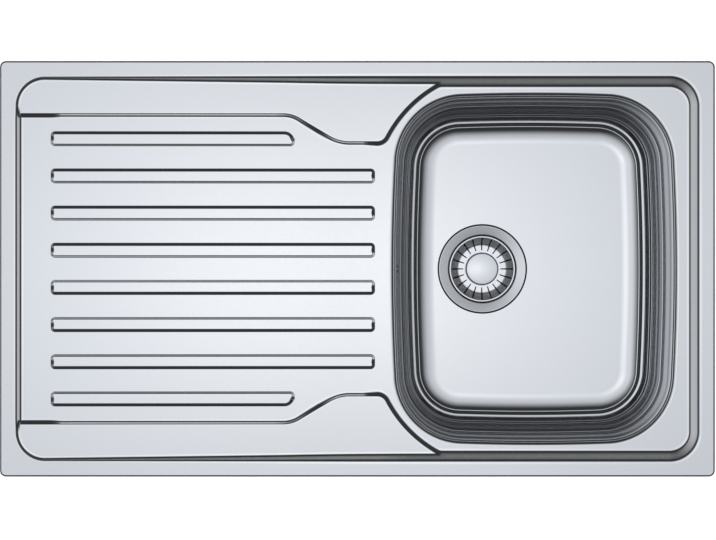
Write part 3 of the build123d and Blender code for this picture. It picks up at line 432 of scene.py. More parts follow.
def bowl_loop(grow):
    """Closed loop of the bowl's outline with its outward directions, grown or shrunk by one amount."""
    rear_bow = ((BOWL_HALF_LENGTH - BOWL_SIDE_BOW) ** 2 + BOWL_SIDE_BOW**2) / (2 * BOWL_SIDE_BOW)
    side_bow = ((BOWL_HALF_WIDTH - BOWL_END_BOW) ** 2 + BOWL_END_BOW**2) / (2 * BOWL_END_BOW)
    rear = np.array([0.0, BOWL_HALF_WIDTH - rear_bow])
    side = np.array([BOWL_HALF_LENGTH - side_bow, 0.0])
    apart = side - rear
    distance = math.hypot(*apart)
    along = (distance**2 + (rear_bow - BOWL_CORNER) ** 2 - (side_bow - BOWL_CORNER) ** 2) / (2 * distance)
    lift = math.sqrt((rear_bow - BOWL_CORNER) ** 2 - along**2)
    unit = apart / distance
    corner = rear + along * unit + lift * np.array([unit[1], -unit[0]])
    side_turn = math.atan2(corner[1] - side[1], corner[0] - side[0])
    rear_turn = math.atan2(corner[1] - rear[1], corner[0] - rear[0])
    points = []
    outward = []
    for centre, radius, start, end, count in (
        (side, side_bow, 0, side_turn, BOWL_END_POINTS),
        (corner, BOWL_CORNER, side_turn, rear_turn, BOWL_CORNER_POINTS),
        (rear, rear_bow, rear_turn, math.pi / 2, BOWL_SIDE_POINTS),
    ):
        turn = np.linspace(start, end, count)[1 if points else 0 :]
        direction = np.column_stack([np.cos(turn), np.sin(turn)])
        points.append(centre + radius * direction)
        outward.append(direction)
    points = np.vstack(points)
    outward = np.vstack(outward)
    whole = []
    for quarter in (points + grow * outward, outward):
        rear_left = quarter[::-1][1:] * (-1, 1)
        front_left = quarter[1:] * (-1, -1)
        front_right = quarter[::-1][1:-1] * (1, -1)
        whole.append(np.vstack([quarter, rear_left, front_left, front_right]))
    return whole[0] + np.array([BOWL_X, 0.0]), whole[1]


def filled_plan(closed, open_lines, hole):
    """Triangles that fill the plan inside the first closed loop and outside the hole, along all lines."""
    points = []
    edges = []
    for line in closed + open_lines:
        start = len(points)
        points.extend(Vector(p) for p in line)
        edges.extend((i, i + 1) for i in range(start, len(points) - 1))
        if any(line is c for c in closed):
            edges.append((len(points) - 1, start))
    verts, _, faces, origins, _, _ = delaunay_2d_cdt(points, edges, [], 0, 1e-3)
    plan = np.array([(v[0], v[1]) for v in verts])
    faces = np.array([f for f in faces if len(f) == 3])
    middle = plan[faces].mean(axis=1)
    keep = ~hole(middle[:, 0], middle[:, 1])
    place = {}
    for i, came_from in enumerate(origins):
        for j in came_from:
            place[j] = i
    return plan, faces[keep], place


def in_loop(loop):
    """Test of whether places lie inside a convex loop."""
    after = np.roll(loop, -1, axis=0)

    def inside(x, y):
        result = np.ones(np.shape(x), bool)
        for (ax, ay), (bx, by) in zip(loop, after):
            result &= (bx - ax) * (y - ay) - (by - ay) * (x - ax) >= -1e-6
        return result

    return inside


def new_piece(name, points, faces, material, normals=None):
    """Mesh object from points in millimetres."""
    mesh = bpy.data.meshes.new(name)
    mesh.from_pydata((np.asarray(points) * MM).tolist(), [], [list(map(int, f)) for f in faces])
    mesh.validate()
    mesh.shade_smooth()
    if normals is not None:
        mesh.normals_split_custom_set_from_vertices(np.asarray(normals).tolist())
    mesh.materials.append(material)
    made = bpy.data.objects.new(name, mesh)
    bpy.context.scene.collection.objects.link(made)
    return made


def strip(lower, upper):
    """Quads between two rows of point numbers that run round a loop."""
    count = len(lower)
    return [(lower[i], lower[(i + 1) % count], upper[(i + 1) % count], upper[i]) for i in range(count)]


def turned_edge():
    """Rows of the deck's turned-down edge: reach outward, height and turn.

    A short bevel leads into the bend.
    """
    rows = []
    reach, height, before = 0.0, RIM_HEIGHT, 0.0
    for radius, turns in ((EDGE_RADIUS, [9, 18, EDGE_TURN]), (EDGE_CREASE, [45, 68, 90])):
        for turn in turns:
            swing = math.radians(turn)
            reach += radius * (math.sin(swing) - math.sin(before))
            height -= radius * (math.cos(before) - math.cos(swing))
            rows.append((reach, height, swing))
            before = swing
        if radius == EDGE_RADIUS:
            reach += EDGE_BEVEL * math.cos(before)
            height -= EDGE_BEVEL * math.sin(before)
            rows.append((reach, height, before))
    return rows + [(reach, EDGE_LIFT, before)]


def deck_lines(outer, seam):
    """Closed and open lines that the deck's mesh follows, seen from above."""
    closed = [outer, seam]
    lines = []
    for inset in RECESS_LINES:
        half = (RECESS_HALF_LENGTH - inset, RECESS_HALF_WIDTH - inset)
        closed.append(rounded_loop(*half, [RECESS_CORNER - inset] * 4, RECESS_SPACING))
    for i in range(RIB_COUNT):
        middle, half, radii = rib_frame(i)
        for inset in RIB_LINES:
            size = (half - inset, RIB_WIDTH / 2 - inset)
            corners = [radius - inset for radius in radii]
            closed.append(rounded_loop(*size, corners, RIB_SPACING, middle, RIB_TURN_STEP))
        for end in (-1, 1):
            ends = [middle[0] + end * (half + reach) for reach in RIB_END_REACH]
            for across in RIB_END_LINES:
                lines.append(np.array([(x, middle[1] + across) for x in ends]))
    for inset in WING_LINES:
        lines.append(wing_edge(inset, 1))
        lines.append(wing_edge(inset, -1))
    for x in np.arange(LEVEL_X - LEVEL_SOFT, LEVEL_X + LEVEL_SOFT + 1, LEVEL_LINE_SPACING):
        lines.append(np.array([(x, -LEVEL_LINE_Y), (x, LEVEL_LINE_Y)]))
    return closed, lines


def pressed_deck(material):
    """Deck as one pressed sheet: turned-down edge, rim, recess, wings, drainer and ribs."""
    edge = turned_edge()
    edge_run = edge[-1][0]
    half = (HALF_LENGTH - edge_run, HALF_WIDTH - edge_run)
    outer = rounded_loop(*half, [OUTER_CORNER - edge_run] * 4, OUTLINE_SPACING)
    seam = bowl_loop(BOWL_FLANGE)[0]
    closed, lines = deck_lines(outer, seam)
    plan, faces, place = filled_plan(closed, lines, in_loop(seam))
    x, y = plan[:, 0], plan[:, 1]
    small = 0.02
    dx = (deck_height(x + small, y) - deck_height(x - small, y)) / (2 * small)
    dy = (deck_height(x, y + small) - deck_height(x, y - small)) / (2 * small)
    normals = np.column_stack([-dx, -dy, np.ones(len(plan))])
    normals /= np.linalg.norm(normals, axis=1, keepdims=True)
    points = np.column_stack([plan, deck_height(x, y)])
    ring = [place[i] for i in range(len(outer))]
    corner = np.array([HALF_LENGTH - OUTER_CORNER, HALF_WIDTH - OUTER_CORNER])
    directions = np.sign(outer) * np.maximum(np.abs(outer) - corner, 0)
    directions /= np.linalg.norm(directions, axis=1, keepdims=True)
    rows = [ring]
    all_points = [points]
    all_normals = [normals]
    total = len(points)
    for reach, height, swing in edge:
        row = np.column_stack([outer + reach * directions, np.full(len(outer), height)])
        all_points.append(row)
        lift = np.full(len(outer), math.cos(swing))
        all_normals.append(np.column_stack([directions * math.sin(swing), lift]))
        rows.append(list(range(total, total + len(outer))))
        total += len(outer)
    points = np.vstack(all_points)
    normals = np.vstack(all_normals)
    upper = [tuple(f) for f in faces]
    for inner_row, outer_row in zip(rows, rows[1:]):
        upper += strip(outer_row, inner_row)
    count = len(points)
    under = points - SHEET * normals
    under[rows[-1], 2] = EDGE_LIFT
    lower = [tuple(i + count for i in f[::-1]) for f in upper]
    closing = strip([i + count for i in rows[-1]], rows[-1])
    seam_row = [place[len(outer) + i] for i in range(len(seam))]
    closing += strip(seam_row, [i + count for i in seam_row])
    points = np.vstack([points, under])
    normals = np.vstack([normals, -normals])
    return new_piece("deck_sheet", points, upper + lower + closing, material, normals)


def stepped(section):
    """Section of the bowl with the fine drawing steps in it, each a narrow ledge round the wall."""
    line = np.array(section)
    along = np.concatenate([[0], np.cumsum(np.hypot(*np.diff(line, axis=0).T))])
    places = [along]
    moves = []
    for height, width in BOWL_STEPS:
        place = np.interp(-FLOOR_Z - height, -line[:, 1], along)
        places.append(place + STEP_RISE * width * STEP_ROWS)
        moves.append((place, width))
    every = np.unique(np.concatenate(places))
    out = np.interp(every, along, line[:, 0])
    for place, width in moves:
        share = np.clip((every - place) / (STEP_RISE * width), 0, 1)
        out -= width * share**2 * (3 - 2 * share)
    return list(zip(out, np.interp(every, along, line[:, 1])))


def rolled(arcs, last, least, spacing):
    """Points along arcs that turn from level to steep: distance gone sideways, and up or down."""
    line = [(0.0, 0.0)]
    start = 0.0
    for end, radius in arcs:
        end = min(end, last)
        turns = np.radians(np.linspace(start, end, least + int((end - start) / spacing)))
        for before, after in zip(turns, turns[1:]):
            sideways = line[-1][0] + radius * (math.sin(after) - math.sin(before))
            line.append((sideways, line[-1][1] + radius * (math.cos(before) - math.cos(after))))
        start = end
    return line


def bowl_section():
    """Section of the bowl from the deck's seam to its flat floor: growth of the outline, and height."""
    steepest = 90 - math.degrees(WALL_TURN)
    lip = rolled(BOWL_LIP, steepest, least=5, spacing=3)
    foot = rolled(BOWL_FOOT + [(90.0, BOWL_HEEL_RADIUS)], steepest, least=7, spacing=2)
    lip_grow = lip[-1][0] - lip[-1][1] * math.tan(WALL_TURN)
    floor_grow = -BOWL_DRAFT + foot[-1][1] * math.tan(WALL_TURN) - foot[-1][0]
    section = [(BOWL_FLANGE, LEDGE_Z)] + [(lip_grow - inward, LEDGE_Z - down) for inward, down in lip]
    wall_top = section[-1]
    wall_foot = (floor_grow + foot[-1][0], FLOOR_Z + foot[-1][1])
    for share in np.linspace(0, 1, WALL_ROWS)[1:-1]:
        reach = wall_top[0] + share * (wall_foot[0] - wall_top[0])
        height = wall_top[1] + share * (wall_foot[1] - wall_top[1])
        wave = BOWL_RIPPLE * math.sin(2 * math.pi * height / BOWL_RIPPLE_LENGTH)
        fade = min(1.0, RIPPLE_FADE * share, RIPPLE_FADE - RIPPLE_FADE * share)
        section.append((reach + wave * fade, height))
    section += [(floor_grow + out, FLOOR_Z + up) for out, up in foot[::-1]]
    floor_grow -= STEP_RUN
    return stepped(section) + [(floor_grow - inward, FLOOR_Z) for inward in FLOOR_LINES]


def overflow_drills():
    """Prisms that cut the overflow's row of holes, square to the bowl's left wall."""
    wall_x = BOWL_X - BOWL_HALF_LENGTH + OVERFLOW_DEPTH * (math.tan(WALL_TURN) + BOWL_LEAN / BOWL_DEPTH)
    hole = circle((0.0, 0.0), OVERFLOW_HOLE, HOLE_SIDES)
    drills = []
    for i in range(OVERFLOW_HOLES):
        y = OVERFLOW_PITCH * (i - (OVERFLOW_HOLES - 1) / 2)
        ends = []
        for push in (-OVERFLOW_DRILL, OVERFLOW_DRILL):
            x = wall_x + push * math.cos(WALL_TURN) - hole[:, 0] * math.sin(WALL_TURN)
            height = LEDGE_Z - OVERFLOW_DEPTH + push * math.sin(WALL_TURN)
            z = height + hole[:, 0] * math.cos(WALL_TURN)
            ends.append(np.column_stack([x, y + hole[:, 1], z]))
        drills.append(ends)
    return drills


def drawn_bowl(material):
    """Bowl as one drawn pan: lip, drafted wall, rounded foot, floor and waste seat, with overflow holes."""
    section = bowl_section()
    points = []
    rows = []
    faces = []
    for grow, height in section:
        loop = bowl_loop(grow)[0] + (BOWL_LEAN * (LEDGE_Z - height) / BOWL_DEPTH, 0.0)
        rows.append(list(range(len(points), len(points) + len(loop))))
        points.extend((px, py, height) for px, py in loop)
    for upper, lower in zip(rows, rows[1:]):
        faces += strip(upper, lower)
    floor_edge = bowl_loop(section[-1][0])[0] + (BOWL_LEAN, 0.0)
    waste = (WASTE_X, 0.0)
    seat_edge = circle(waste, SEAT_RADIUS + SEAT_ROUND, TURNED_SIDES)
    around = [circle(waste, SEAT_RADIUS + out, TURNED_SIDES) for out in SEAT_LINES]
    plan, triangles, place = filled_plan([floor_edge, seat_edge] + around, [], in_loop(seat_edge))
    number = {place[i]: rows[-1][i] for i in range(len(floor_edge))}
    for i, (px, py) in enumerate(plan):
        if i not in number:
            number[i] = len(points)
            points.append((px, py, FLOOR_Z))
    faces += [tuple(number[i] for i in f) for f in triangles]
    row = [number[place[len(floor_edge) + i]] for i in range(len(seat_edge))]
    seat = [(SEAT_RADIUS + out, FLOOR_Z + down) for out, down in SEAT_EDGE]
    for radius, height in seat + [(WASTE_HOLE, FLOOR_Z - SEAT_DEPTH)]:
        after = list(range(len(points), len(points) + len(seat_edge)))
        points.extend((px, py, height) for px, py in circle(waste, radius, TURNED_SIDES))
        faces += strip(row, after)
        row = after
    made = new_piece("bowl_pan", points, faces, material)
    return sheet_with_holes(made, SHEET, overflow_drills())


def sheet_with_holes(made, thickness, drills):
    """Gives a surface its thickness and cuts prisms, each given by its two ends, out of it."""
    thicken = made.modifiers.new("sheet", "SOLIDIFY")
    thicken.thickness = thickness * MM
    thicken.offset = -1
    points = []
    faces = []
    for first, second in drills:
        start, count = len(points), len(first)
        lower = list(range(start, start + count))
        upper = list(range(start + count, start + 2 * count))
        points.extend(np.vstack([first, second]))
        faces += strip(lower, upper) + [tuple(lower[::-1]), tuple(upper)]
    cutter = new_piece("drill", points, faces, made.data.materials[0])
    cut = made.modifiers.new("holes", "BOOLEAN")
    cut.object = cutter
    cut.operation = "DIFFERENCE"
    bpy.context.view_layer.update()
    finished = bpy.data.meshes.new_from_object(made.evaluated_get(bpy.context.evaluated_depsgraph_get()))
    made.modifiers.clear()
    made.data = finished
    bpy.data.objects.remove(cutter)
    finished.shade_smooth()
    finished.set_sharp_from_angle(angle=math.radians(SHARP_ANGLE))
    return made


def turned(name, profile, material):
    """Surface turned about the waste's axis from radii and heights above the bowl floor, middle first."""
    count = TURNED_SIDES
    points = []
    faces = []
    row = None
    for radius, height in profile:
        centre = (WASTE_X, 0.0)
        ring = circle(centre, radius, count) if radius > 0 else np.array([centre])
        after = list(range(len(points), len(points) + len(ring)))
        points.extend((px, py, FLOOR_Z + height) for px, py in ring)
        if row and len(row) == len(after):
            faces += strip(after, row)
        elif row and len(row) == 1:
            faces += [(after[i], after[(i + 1) % count], row[0]) for i in range(count)]
        elif row:
            faces += [(after[0], row[(i + 1) % count], row[i]) for i in range(count)]
        row = after
    made = new_piece(name, points, faces, material)
    made.data.set_sharp_from_angle(angle=math.radians(SHARP_ANGLE))
    return made


def bend(centre, radius, start, end, count):
    """Rows of a profile along an arc, angles in degrees from straight outward."""
    return [tuple(p) for p in arc(centre, radius, start, end, count)]


def pressed_flange(material):
    """Strainer flange: dished ring with a rolled edge, a throat and a cup with a cone for the stopper."""
    cup = [(3.2, -CUP_DEPTH), (24.3, -CUP_DEPTH)] + bend((24.3, -42.8), 1.2, -80, 0, 5) + [(25.5, -34.2)]
    cone = [(25.9, -33.7), (38.6, -24.4), (39.0, -23.9)]
    throat = [(40.2, -6.0), (40.4, -5.4), (41.0, -5.1), (42.0, -5.0)]
    throat += [(42.4, -4.8), (42.6, -4.3), (42.8, -2.6)]
    ring = bend((43.9, -2.6), 1.1, 170, 99, 8) + [(44.2, -1.43), (53.6, -0.09)]
    edge = bend((FLANGE_RADIUS - FLANGE_EDGE, -FLANGE_EDGE), FLANGE_EDGE, 97, 0, 9)
    edge += [(FLANGE_RADIUS, -2.0)]
    made = turned("flange_pressing", cup + cone + throat + ring + edge, material)
    drills = []
    for i in range(CUP_OPENINGS):
        turn = 2 * math.pi * i / CUP_OPENINGS
        middle = (WASTE_X + CUP_OPENING_CIRCLE * math.cos(turn), CUP_OPENING_CIRCLE * math.sin(turn))
        hole = circle(middle, CUP_OPENING, HOLE_SIDES)
        heights = [FLOOR_Z - CUP_DEPTH + push for push in (-CUP_DRILL, CUP_DRILL)]
        drills.append([np.column_stack([hole, np.full(HOLE_SIDES, z)]) for z in heights])
    return sheet_with_holes(made, FLANGE_SHEET, drills)


def slotted_basket(material):
    """Strainer basket: slotted pan with a wide bend up to a flat rolled rim."""
    pan = [(radius, -BASKET_DEPTH) for radius in (5.05, 12.0, 24.0, BASKET_FLAT - 0.4)]
    wall = bend((BASKET_FLAT, BASKET_BEND - BASKET_DEPTH), BASKET_BEND, -90, -22, 16)
    wall += [(36.4, -11.0), (37.6, -8.0), (38.8, -5.1)]
    rim = bend((39.9, -3.5), 0.9, 155, 95, 7) + [(40.5, -2.58), (41.1, -2.6)]
    rim += bend((41.2, -3.0), 0.4, 80, 0, 5)
    made = turned("slotted_basket", pan + wall + rim, material)
    near = arc((SLOT_INNER, 0.0), SLOT_INNER_WIDTH / 2, 90, 270, 6)
    far = arc((SLOT_OUTER, 0.0), SLOT_OUTER_WIDTH / 2, -90, 90, 8)
    slot = np.vstack([near, far])
    drills = []
    for i in range(BASKET_SLOTS):
        turn = 2 * math.pi * i / BASKET_SLOTS
        x = WASTE_X + slot[:, 0] * math.cos(turn) - slot[:, 1] * math.sin(turn)
        y = slot[:, 0] * math.sin(turn) + slot[:, 1] * math.cos(turn)
        drills.append([np.column_stack([x, y, np.full(len(x), FLOOR_Z + z)]) for z in SLOT_HEIGHTS])
    return sheet_with_holes(made, BASKET_SHEET, drills)


def domed_cap(material):
    """Finger knob of the strainer: flat dome with a rounded edge on a short neck."""
    crown = CAP_RADIUS - CAP_EDGE
    profile = [(r, CAP_TOP - CAP_CROWN * (r / crown) ** 2) for r in np.linspace(0, crown, 9)]
    tilt = math.degrees(math.atan(2 * CAP_CROWN / crown))
    profile += bend((crown, CAP_TOP - CAP_CROWN - CAP_EDGE), CAP_EDGE, 90 - tilt, 0, 12)[1:]
    profile += [(CAP_RADIUS, -9.4)] + bend((CAP_RADIUS - 0.5, -9.4), 0.5, -20, -90, 5)
    profile += [(7.4, -10.9), (7.4, -17.7), (5.0, -17.7), (5.0, -9.2), (0.0, -9.2)]
    return turned("domed_cap", profile, material)


# Colour sockets of a mix node, which share their names with its other sockets
MIX_FIRST = 6
MIX_SECOND = 7
MIX_RESULT = 2

# Dull ring of the basket's wall, also painted paler there as painted light on a wall that faces away from
# the light: middle radius, half widths where it ends and is full, depths below the bowl's floor where it is
# full and where it ends, and added roughness
DULL_PAINTED_LIGHT_RADIUS = 35.6
DULL_PAINTED_LIGHT_OUTER = 4.4
DULL_PAINTED_LIGHT_INNER = 3.2
DULL_PAINTED_LIGHT_DEPTH = 19
DULL_PAINTED_LIGHT_FOOT = 21
DULL_ROUGHNESS = 0.8

# Satin finishes: span of the patches' values in use, and how far the roughness differs between patches
PATCH_SPAN = (0.3, 0.7)
GLOSS_SPREAD = 0.1

# Moulded finishes: share of the relief that shows
RELIEF_STRENGTH = 0.3


def linear(code):
    """Linear colour of an sRGB hex value."""
    parts = [int(code[i : i + 2], 16) / 255 for i in (1, 3, 5)]
    return tuple(c / 12.92 if c <= 0.04045 else ((c + 0.055) / 1.055) ** 2.4 for c in parts) + (1.0,)


def node(tree, kind, feeds=None, **settings):
    """One shader node with its settings, and the values or sockets that feed it."""
    made = tree.nodes.new(kind)
    for name, value in settings.items():
        setattr(made, name, value)
    for name, value in (feeds or {}).items():
        if isinstance(value, bpy.types.NodeSocket):
            tree.links.new(value, made.inputs[name])
        else:
            made.inputs[name].default_value = value
    return made


def surface(name, **values):
    """New material with its main shader, whose plain values are set on its own sockets."""
    material = bpy.data.materials.new(name)
    material.use_nodes = True
    tree = material.node_tree
    shader = tree.nodes["Principled BSDF"]
    for key, value in values.items():
        shader.inputs[key.replace("_", " ")].default_value = value
    return material, tree, shader


def two_tones(tree, shader, colour, dark, grain, detail):
    """Gives a finish two near tones in patches of a size in millimetres, and returns the patches."""
    place = node(tree, "ShaderNodeTexCoord").outputs["Object"]
    pattern = {"Vector": place, "Scale": 1 / (grain * MM), "Detail": detail}
    patches = node(tree, "ShaderNodeTexNoise", pattern).outputs["Fac"]
    tones = {"Factor": patches, MIX_FIRST: linear(dark), MIX_SECOND: linear(colour)}
    tone = node(tree, "ShaderNodeMix", tones, data_type="RGBA").outputs[MIX_RESULT]
    tree.links.new(tone, shader.inputs["Base Color"])
    return patches


def satin_metal(name, colour, dark, roughness, grain):
    """Bare metal with a fine satin finish: clear but slightly soft reflections, faintly uneven in tone."""
    material, tree, shader = surface(name, Metallic=1.0)
    # The grit's scratches are far finer than a pixel, so they are drawn as patches of the given size.
    patches = two_tones(tree, shader, colour, dark, grain, 3.0)
    spread = {"Value": patches, "From Min": PATCH_SPAN[0], "From Max": PATCH_SPAN[1]}
    spread["To Min"] = roughness * (1 - GLOSS_SPREAD)
    spread["To Max"] = roughness * (1 + GLOSS_SPREAD)
    gloss = node(tree, "ShaderNodeMapRange", spread).outputs["Result"]
    tree.links.new(gloss, shader.inputs["Roughness"])
    return material


def dull_wall_with_painted_light(material, painted_light_tone):
    """Makes a strainer's finish rough on the basket's wall, which the press leaves dull, and paints it paler
    there as painted light on the steep wall.
    """
    tree = material.node_tree
    shader = tree.nodes["Principled BSDF"]
    share = basket_wall(tree, node(tree, "ShaderNodeTexCoord").outputs["Object"])
    tone = shader.inputs["Base Color"].links[0].from_socket
    # Painted light: a paler colour on the basket's wall, which lightens a wall that faces away from the
    # light
    tones = {"Factor": share, MIX_FIRST: tone, MIX_SECOND: linear(painted_light_tone)}
    tone = node(tree, "ShaderNodeMix", tones, data_type="RGBA").outputs[MIX_RESULT]
    tree.links.new(tone, shader.inputs["Base Color"])
    polished = shader.inputs["Roughness"].links[0].from_socket
    added = {0: share, 1: DULL_ROUGHNESS, 2: polished}
    rough = node(tree, "ShaderNodeMath", added, operation="MULTIPLY_ADD").outputs[0]
    tree.links.new(rough, shader.inputs["Roughness"])
    return material


def basket_wall(tree, place):
    """The ring that the strainer basket's wall covers, seen from above."""
    waste = (WASTE_X * MM, 0, 0)
    apart = node(tree, "ShaderNodeVectorMath", {0: place, 1: waste}, operation="SUBTRACT").outputs[0]
    level = (1.0, 1.0, 0)
    apart = node(tree, "ShaderNodeVectorMath", {0: apart, 1: level}, operation="MULTIPLY").outputs[0]
    radius = node(tree, "ShaderNodeVectorMath", {0: apart}, operation="LENGTH").outputs["Value"]
    middle = node(tree, "ShaderNodeMath", {0: radius, 1: DULL_PAINTED_LIGHT_RADIUS * MM}, operation="SUBTRACT").outputs[0]
    middle = node(tree, "ShaderNodeMath", {0: middle}, operation="ABSOLUTE").outputs[0]
    ring = {"Value": middle, "From Min": DULL_PAINTED_LIGHT_OUTER * MM, "From Max": DULL_PAINTED_LIGHT_INNER * MM}
    ring = node(tree, "ShaderNodeMapRange", ring).outputs["Result"]
    height = node(tree, "ShaderNodeSeparateXYZ", {0: place}).outputs["Z"]
    above = {"Value": height}
    above["From Min"] = (FLOOR_Z - DULL_PAINTED_LIGHT_FOOT) * MM
    above["From Max"] = (FLOOR_Z - DULL_PAINTED_LIGHT_DEPTH) * MM
    above = node(tree, "ShaderNodeMapRange", above).outputs["Result"]
    return node(tree, "ShaderNodeMath", {0: ring, 1: above}, operation="MULTIPLY").outputs[0]


def moulded(name, colour, dark, roughness, grain, bump):
    """Plain moulded, foamed or felted stuff: two near tones in patches and a fine relief."""
    material, tree, shader = surface(name, Roughness=roughness)
    patches = two_tones(tree, shader, colour, dark, grain, 4.0)
    relief = {"Height": patches, "Strength": RELIEF_STRENGTH, "Distance": bump * MM}
    relief = node(tree, "ShaderNodeBump", relief).outputs["Normal"]
    tree.links.new(relief, shader.inputs["Normal"])
    return material


# Finishes by slot: two tones, roughness and size of the patches, and for moulded stuff the relief's height
finishes = {
    # Sheet with a ground satin finish: mirrors the surroundings, a little blurred
    "deck_steel": satin_metal("satin_stainless_deck", "#DBDDE1", "#D7D9DD", 0.12, 4.0),
    # The same sheet, drawn into the bowl, a shade darker: painted shade for the inside of the bowl
    "bowl_steel": satin_metal("satin_stainless_bowl_painted_shade", "#D9DBDF", "#D5D7DB", 0.12, 4.0),
    # Thin pressed sheet: paler and slightly softer than the deck
    "strainer_steel": satin_metal("pressed_stainless_strainer", "#DFE1E5", "#D9DBE0", 0.15, 3.0),
    # Turned rod and nuts: blurred highlights from fine turning marks
    "stem_steel": satin_metal("turned_stainless_stem", "#CBCDD0", "#C2C4C8", 0.22, 1.5),
    # Bright zinc plating: bluish grey, soft and slightly blotchy
    "clamp_zinc": satin_metal("zinc_plated_clamp", "#C6C9C9", "#B4B9BC", 0.34, 2.0),
    # Strip steel as rolled: plain grey with wide soft highlights
    "lug_steel": satin_metal("mill_finish_lug", "#C4C6C8", "#B6B8BB", 0.32, 2.5),
    # Foam strip: dark, matt and finely pitted
    "seal_foam": moulded("closed_cell_foam", "#4A4B4D", "#3A3B3D", 0.85, 0.8, 0.25),
    # Bitumen felt: dark, matt and coarse
    "pad_felt": moulded("bitumen_felt_pad", "#55565A", "#434448", 0.9, 1.2, 0.3),
    # Moulded rubber: near black with a dull sheen
    "gasket_rubber": moulded("moulded_rubber", "#2B2C2E", "#222325", 0.55, 2.0, 0.08),
    # Moulded polypropylene: off-white and waxy smooth
    "waste_plastic": moulded("moulded_polypropylene", "#E4E5E3", "#DCDDDB", 0.38, 3.0, 0.06),
    # Turned brass: warm yellow with clear highlights
    "insert_brass": satin_metal("turned_brass_insert", "#D9B978", "#CBA862", 0.25, 1.5),
}
# Pale colour on the basket's wall: painted light
dull_wall_with_painted_light(finishes["strainer_steel"], "#FAFAFB")

for row in frame["record"]["subparts"]:
    shown = frame["nodes"][row["node"]]
    shown.data.materials.clear()
    shown.data.materials.append(finishes[row["material_slot"]])

deck_sheet = pressed_deck(finishes["deck_steel"])
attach(deck_sheet, "sink")
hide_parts("deck")

bowl_pan = drawn_bowl(finishes["bowl_steel"])
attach(bowl_pan, "sink")
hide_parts("bowl")

for made, body, stands_for in (
    (pressed_flange(finishes["strainer_steel"]), "sink", "strainer_flange"),
    (slotted_basket(finishes["strainer_steel"]), "basket", "strainer_basket"),
    (domed_cap(finishes["strainer_steel"]), "stopper", "strainer_cap"),
):
    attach(made, body)
    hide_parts(stands_for)

# Pale floor at a worktop's height below the sink: level in metres, half size in millimetres and glow
GROUND_LEVEL = -0.9
GROUND_HALF = 12000
GROUND_GLOW = 0.62
floor_paint, tree, shader = surface("matt_white_floor", Roughness=0.9)
shader.inputs["Base Color"].default_value = linear("#EEEEEE")
path = node(tree, "ShaderNodeLightPath").outputs
seen = node(tree, "ShaderNodeMath", {0: path["Is Camera Ray"], 1: path["Is Glossy Ray"]}, operation="ADD")
seen = node(tree, "ShaderNodeMath", {0: seen.outputs[0], 1: path["Is Transmission Ray"]}, operation="ADD")
glow = node(tree, "ShaderNodeMath", {0: seen.outputs[0], 1: GROUND_GLOW}, operation="MULTIPLY")
shader.inputs["Emission Color"].default_value = linear("#FFFFFF")
tree.links.new(glow.outputs[0], shader.inputs["Emission Strength"])
floor_signs = [(-1, -1), (1, -1), (1, 1), (-1, 1)]
floor_points = [(sx * GROUND_HALF, sy * GROUND_HALF, 0) for sx, sy in floor_signs]
floor = new_piece("floor", floor_points, [(0, 1, 2, 3)], floor_paint)
floor.location.z = GROUND_LEVEL

# Studio surround: a soft light overhead that fades outward, more slowly to the left, then dark down to the
# horizon. Each row holds angles from straight up in degrees and the brightness there, for one side.
fades = {
    "right": [
        (0, 1.5), (1.7, 1.4), (3.5, 1.2), (7, 0.92), (13, 0.78),
        (20, 0.58), (30, 0.27), (37, 0.09), (46, 0.042),
    ],
    "left": [
        (0, 1.5), (2.2, 1.4), (4.3, 1.2), (7.5, 0.94), (12, 1.03),
        (17, 0.92), (22, 0.75), (32, 0.45), (47, 0.06),
    ],
    "rear": [
        (0, 1.5), (1.2, 1.38), (2.5, 1.16), (4.2, 1.0), (7, 0.88),
        (13, 0.7), (19, 0.45), (26, 0.18), (33, 0.045),
    ],
    "front": [
        (0, 1.5), (1.2, 1.38), (2.5, 1.14), (4.2, 0.95), (8, 0.77),
        (14, 0.58), (20, 0.34), (26, 0.1), (33, 0.042),
    ],
}

# The same from the dark part down, at the sink's ends, which are left and right, and at its sides
horizons = {
    "ends": [(70, 0.042), (76, 0.6), (90, 0.88), (180, 0.88)],
    "sides": [(75, 0.042), (82, 0.22), (84.5, 0.7), (90, 0.95), (180, 0.9)],
}

# Slightly cool part of the light: angles from straight up, and how much red and green it lacks
COOL_ANGLES = (3, 60)
COOL_RED = 0.05
COOL_GREEN = 0.025
world = bpy.data.worlds.new("studio")
bpy.context.scene.world = world
world.use_nodes = True
tree = world.node_tree
tree.nodes.clear()
way = node(tree, "ShaderNodeTexCoord").outputs["Generated"]
up = node(tree, "ShaderNodeSeparateXYZ", {0: way}).outputs["Z"]
tilt = node(tree, "ShaderNodeMath", {0: up}, operation="ARCCOSINE").outputs[0]
tilt = node(tree, "ShaderNodeMath", {0: tilt, 1: math.pi}, operation="DIVIDE").outputs[0]
level = node(tree, "ShaderNodeVectorMath", {0: way, 1: (1.0, 1.0, 0.0)}, operation="MULTIPLY").outputs[0]
level = node(tree, "ShaderNodeVectorMath", {0: level}, operation="NORMALIZE").outputs[0]
sides = {"right": (1.0, 0, 0), "left": (-1.0, 0, 0), "rear": (0, 1.0, 0), "front": (0, -1.0, 0)}
studio = None
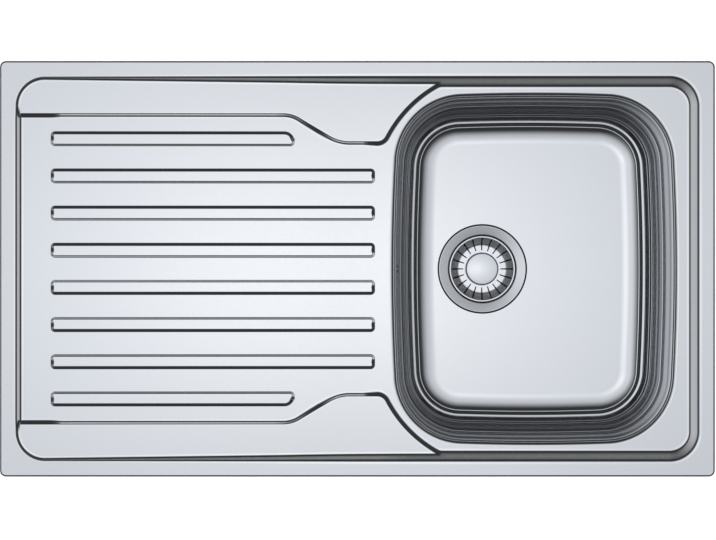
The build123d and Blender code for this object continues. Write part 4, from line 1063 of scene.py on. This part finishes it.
for side, toward in sides.items():
    fade = node(tree, "ShaderNodeValToRGB", {"Fac": tilt})
    stops = fades[side] + horizons["ends" if side in ("left", "right") else "sides"]
    ramp = fade.color_ramp
    while len(ramp.elements) < len(stops):
        ramp.elements.new(1.0)
    for stop, (angle, bright) in zip(ramp.elements, stops):
        stop.position = angle / 180
        cool = 1.0 if COOL_ANGLES[0] <= angle <= COOL_ANGLES[1] else 0.0
        stop.color = (bright * (1 - COOL_RED * cool), bright * (1 - COOL_GREEN * cool), bright, 1.0)
    ways = {0: level, 1: toward}
    facing = node(tree, "ShaderNodeVectorMath", ways, operation="DOT_PRODUCT").outputs["Value"]
    facing = node(tree, "ShaderNodeMath", {0: facing, 1: 0.0}, operation="MAXIMUM").outputs[0]
    facing = node(tree, "ShaderNodeMath", {0: facing, 1: 2.0}, operation="POWER").outputs[0]
    share = {0: fade.outputs["Color"], "Scale": facing}
    lit = node(tree, "ShaderNodeVectorMath", share, operation="SCALE").outputs[0]
    studio = lit if studio is None else node(tree, "ShaderNodeVectorMath", {0: studio, 1: lit}).outputs[0]
camera_ray = node(tree, "ShaderNodeLightPath").outputs["Is Camera Ray"]
colours = {"Factor": camera_ray, MIX_FIRST: studio, MIX_SECOND: linear("#FFFFFF")}
surround = node(tree, "ShaderNodeMix", colours, data_type="RGBA").outputs[MIX_RESULT]
light = node(tree, "ShaderNodeBackground", {"Color": surround, "Strength": 1.0})
node(tree, "ShaderNodeOutputWorld", {"Surface": light.outputs[0]})

# Large soft lamp overhead, for the pieces that aren't metal and for the floor
lamp_data = bpy.data.lights.new("overhead_lamp", "AREA")
lamp_data.shape = "RECTANGLE"
lamp_data.size = 4.0
lamp_data.size_y = 3.2
lamp_data.energy = 150.0
lamp = bpy.data.objects.new("overhead_lamp", lamp_data)
lamp.location = (-0.4, 0.0, 4.2)
lamp.visible_glossy = False
bpy.context.scene.collection.objects.link(lamp)

# Camera straight above the sink
camera_data = bpy.data.cameras.new("camera")
camera_data.lens = 137.84
camera_data.sensor_width = 36.0
camera_data.clip_end = 100.0
camera = bpy.data.objects.new("camera", camera_data)
camera.location = (0.00075, -0.0014, 3.301)
bpy.context.scene.collection.objects.link(camera)
bpy.context.scene.camera = camera
bpy.context.scene.view_settings.view_transform = "Standard"
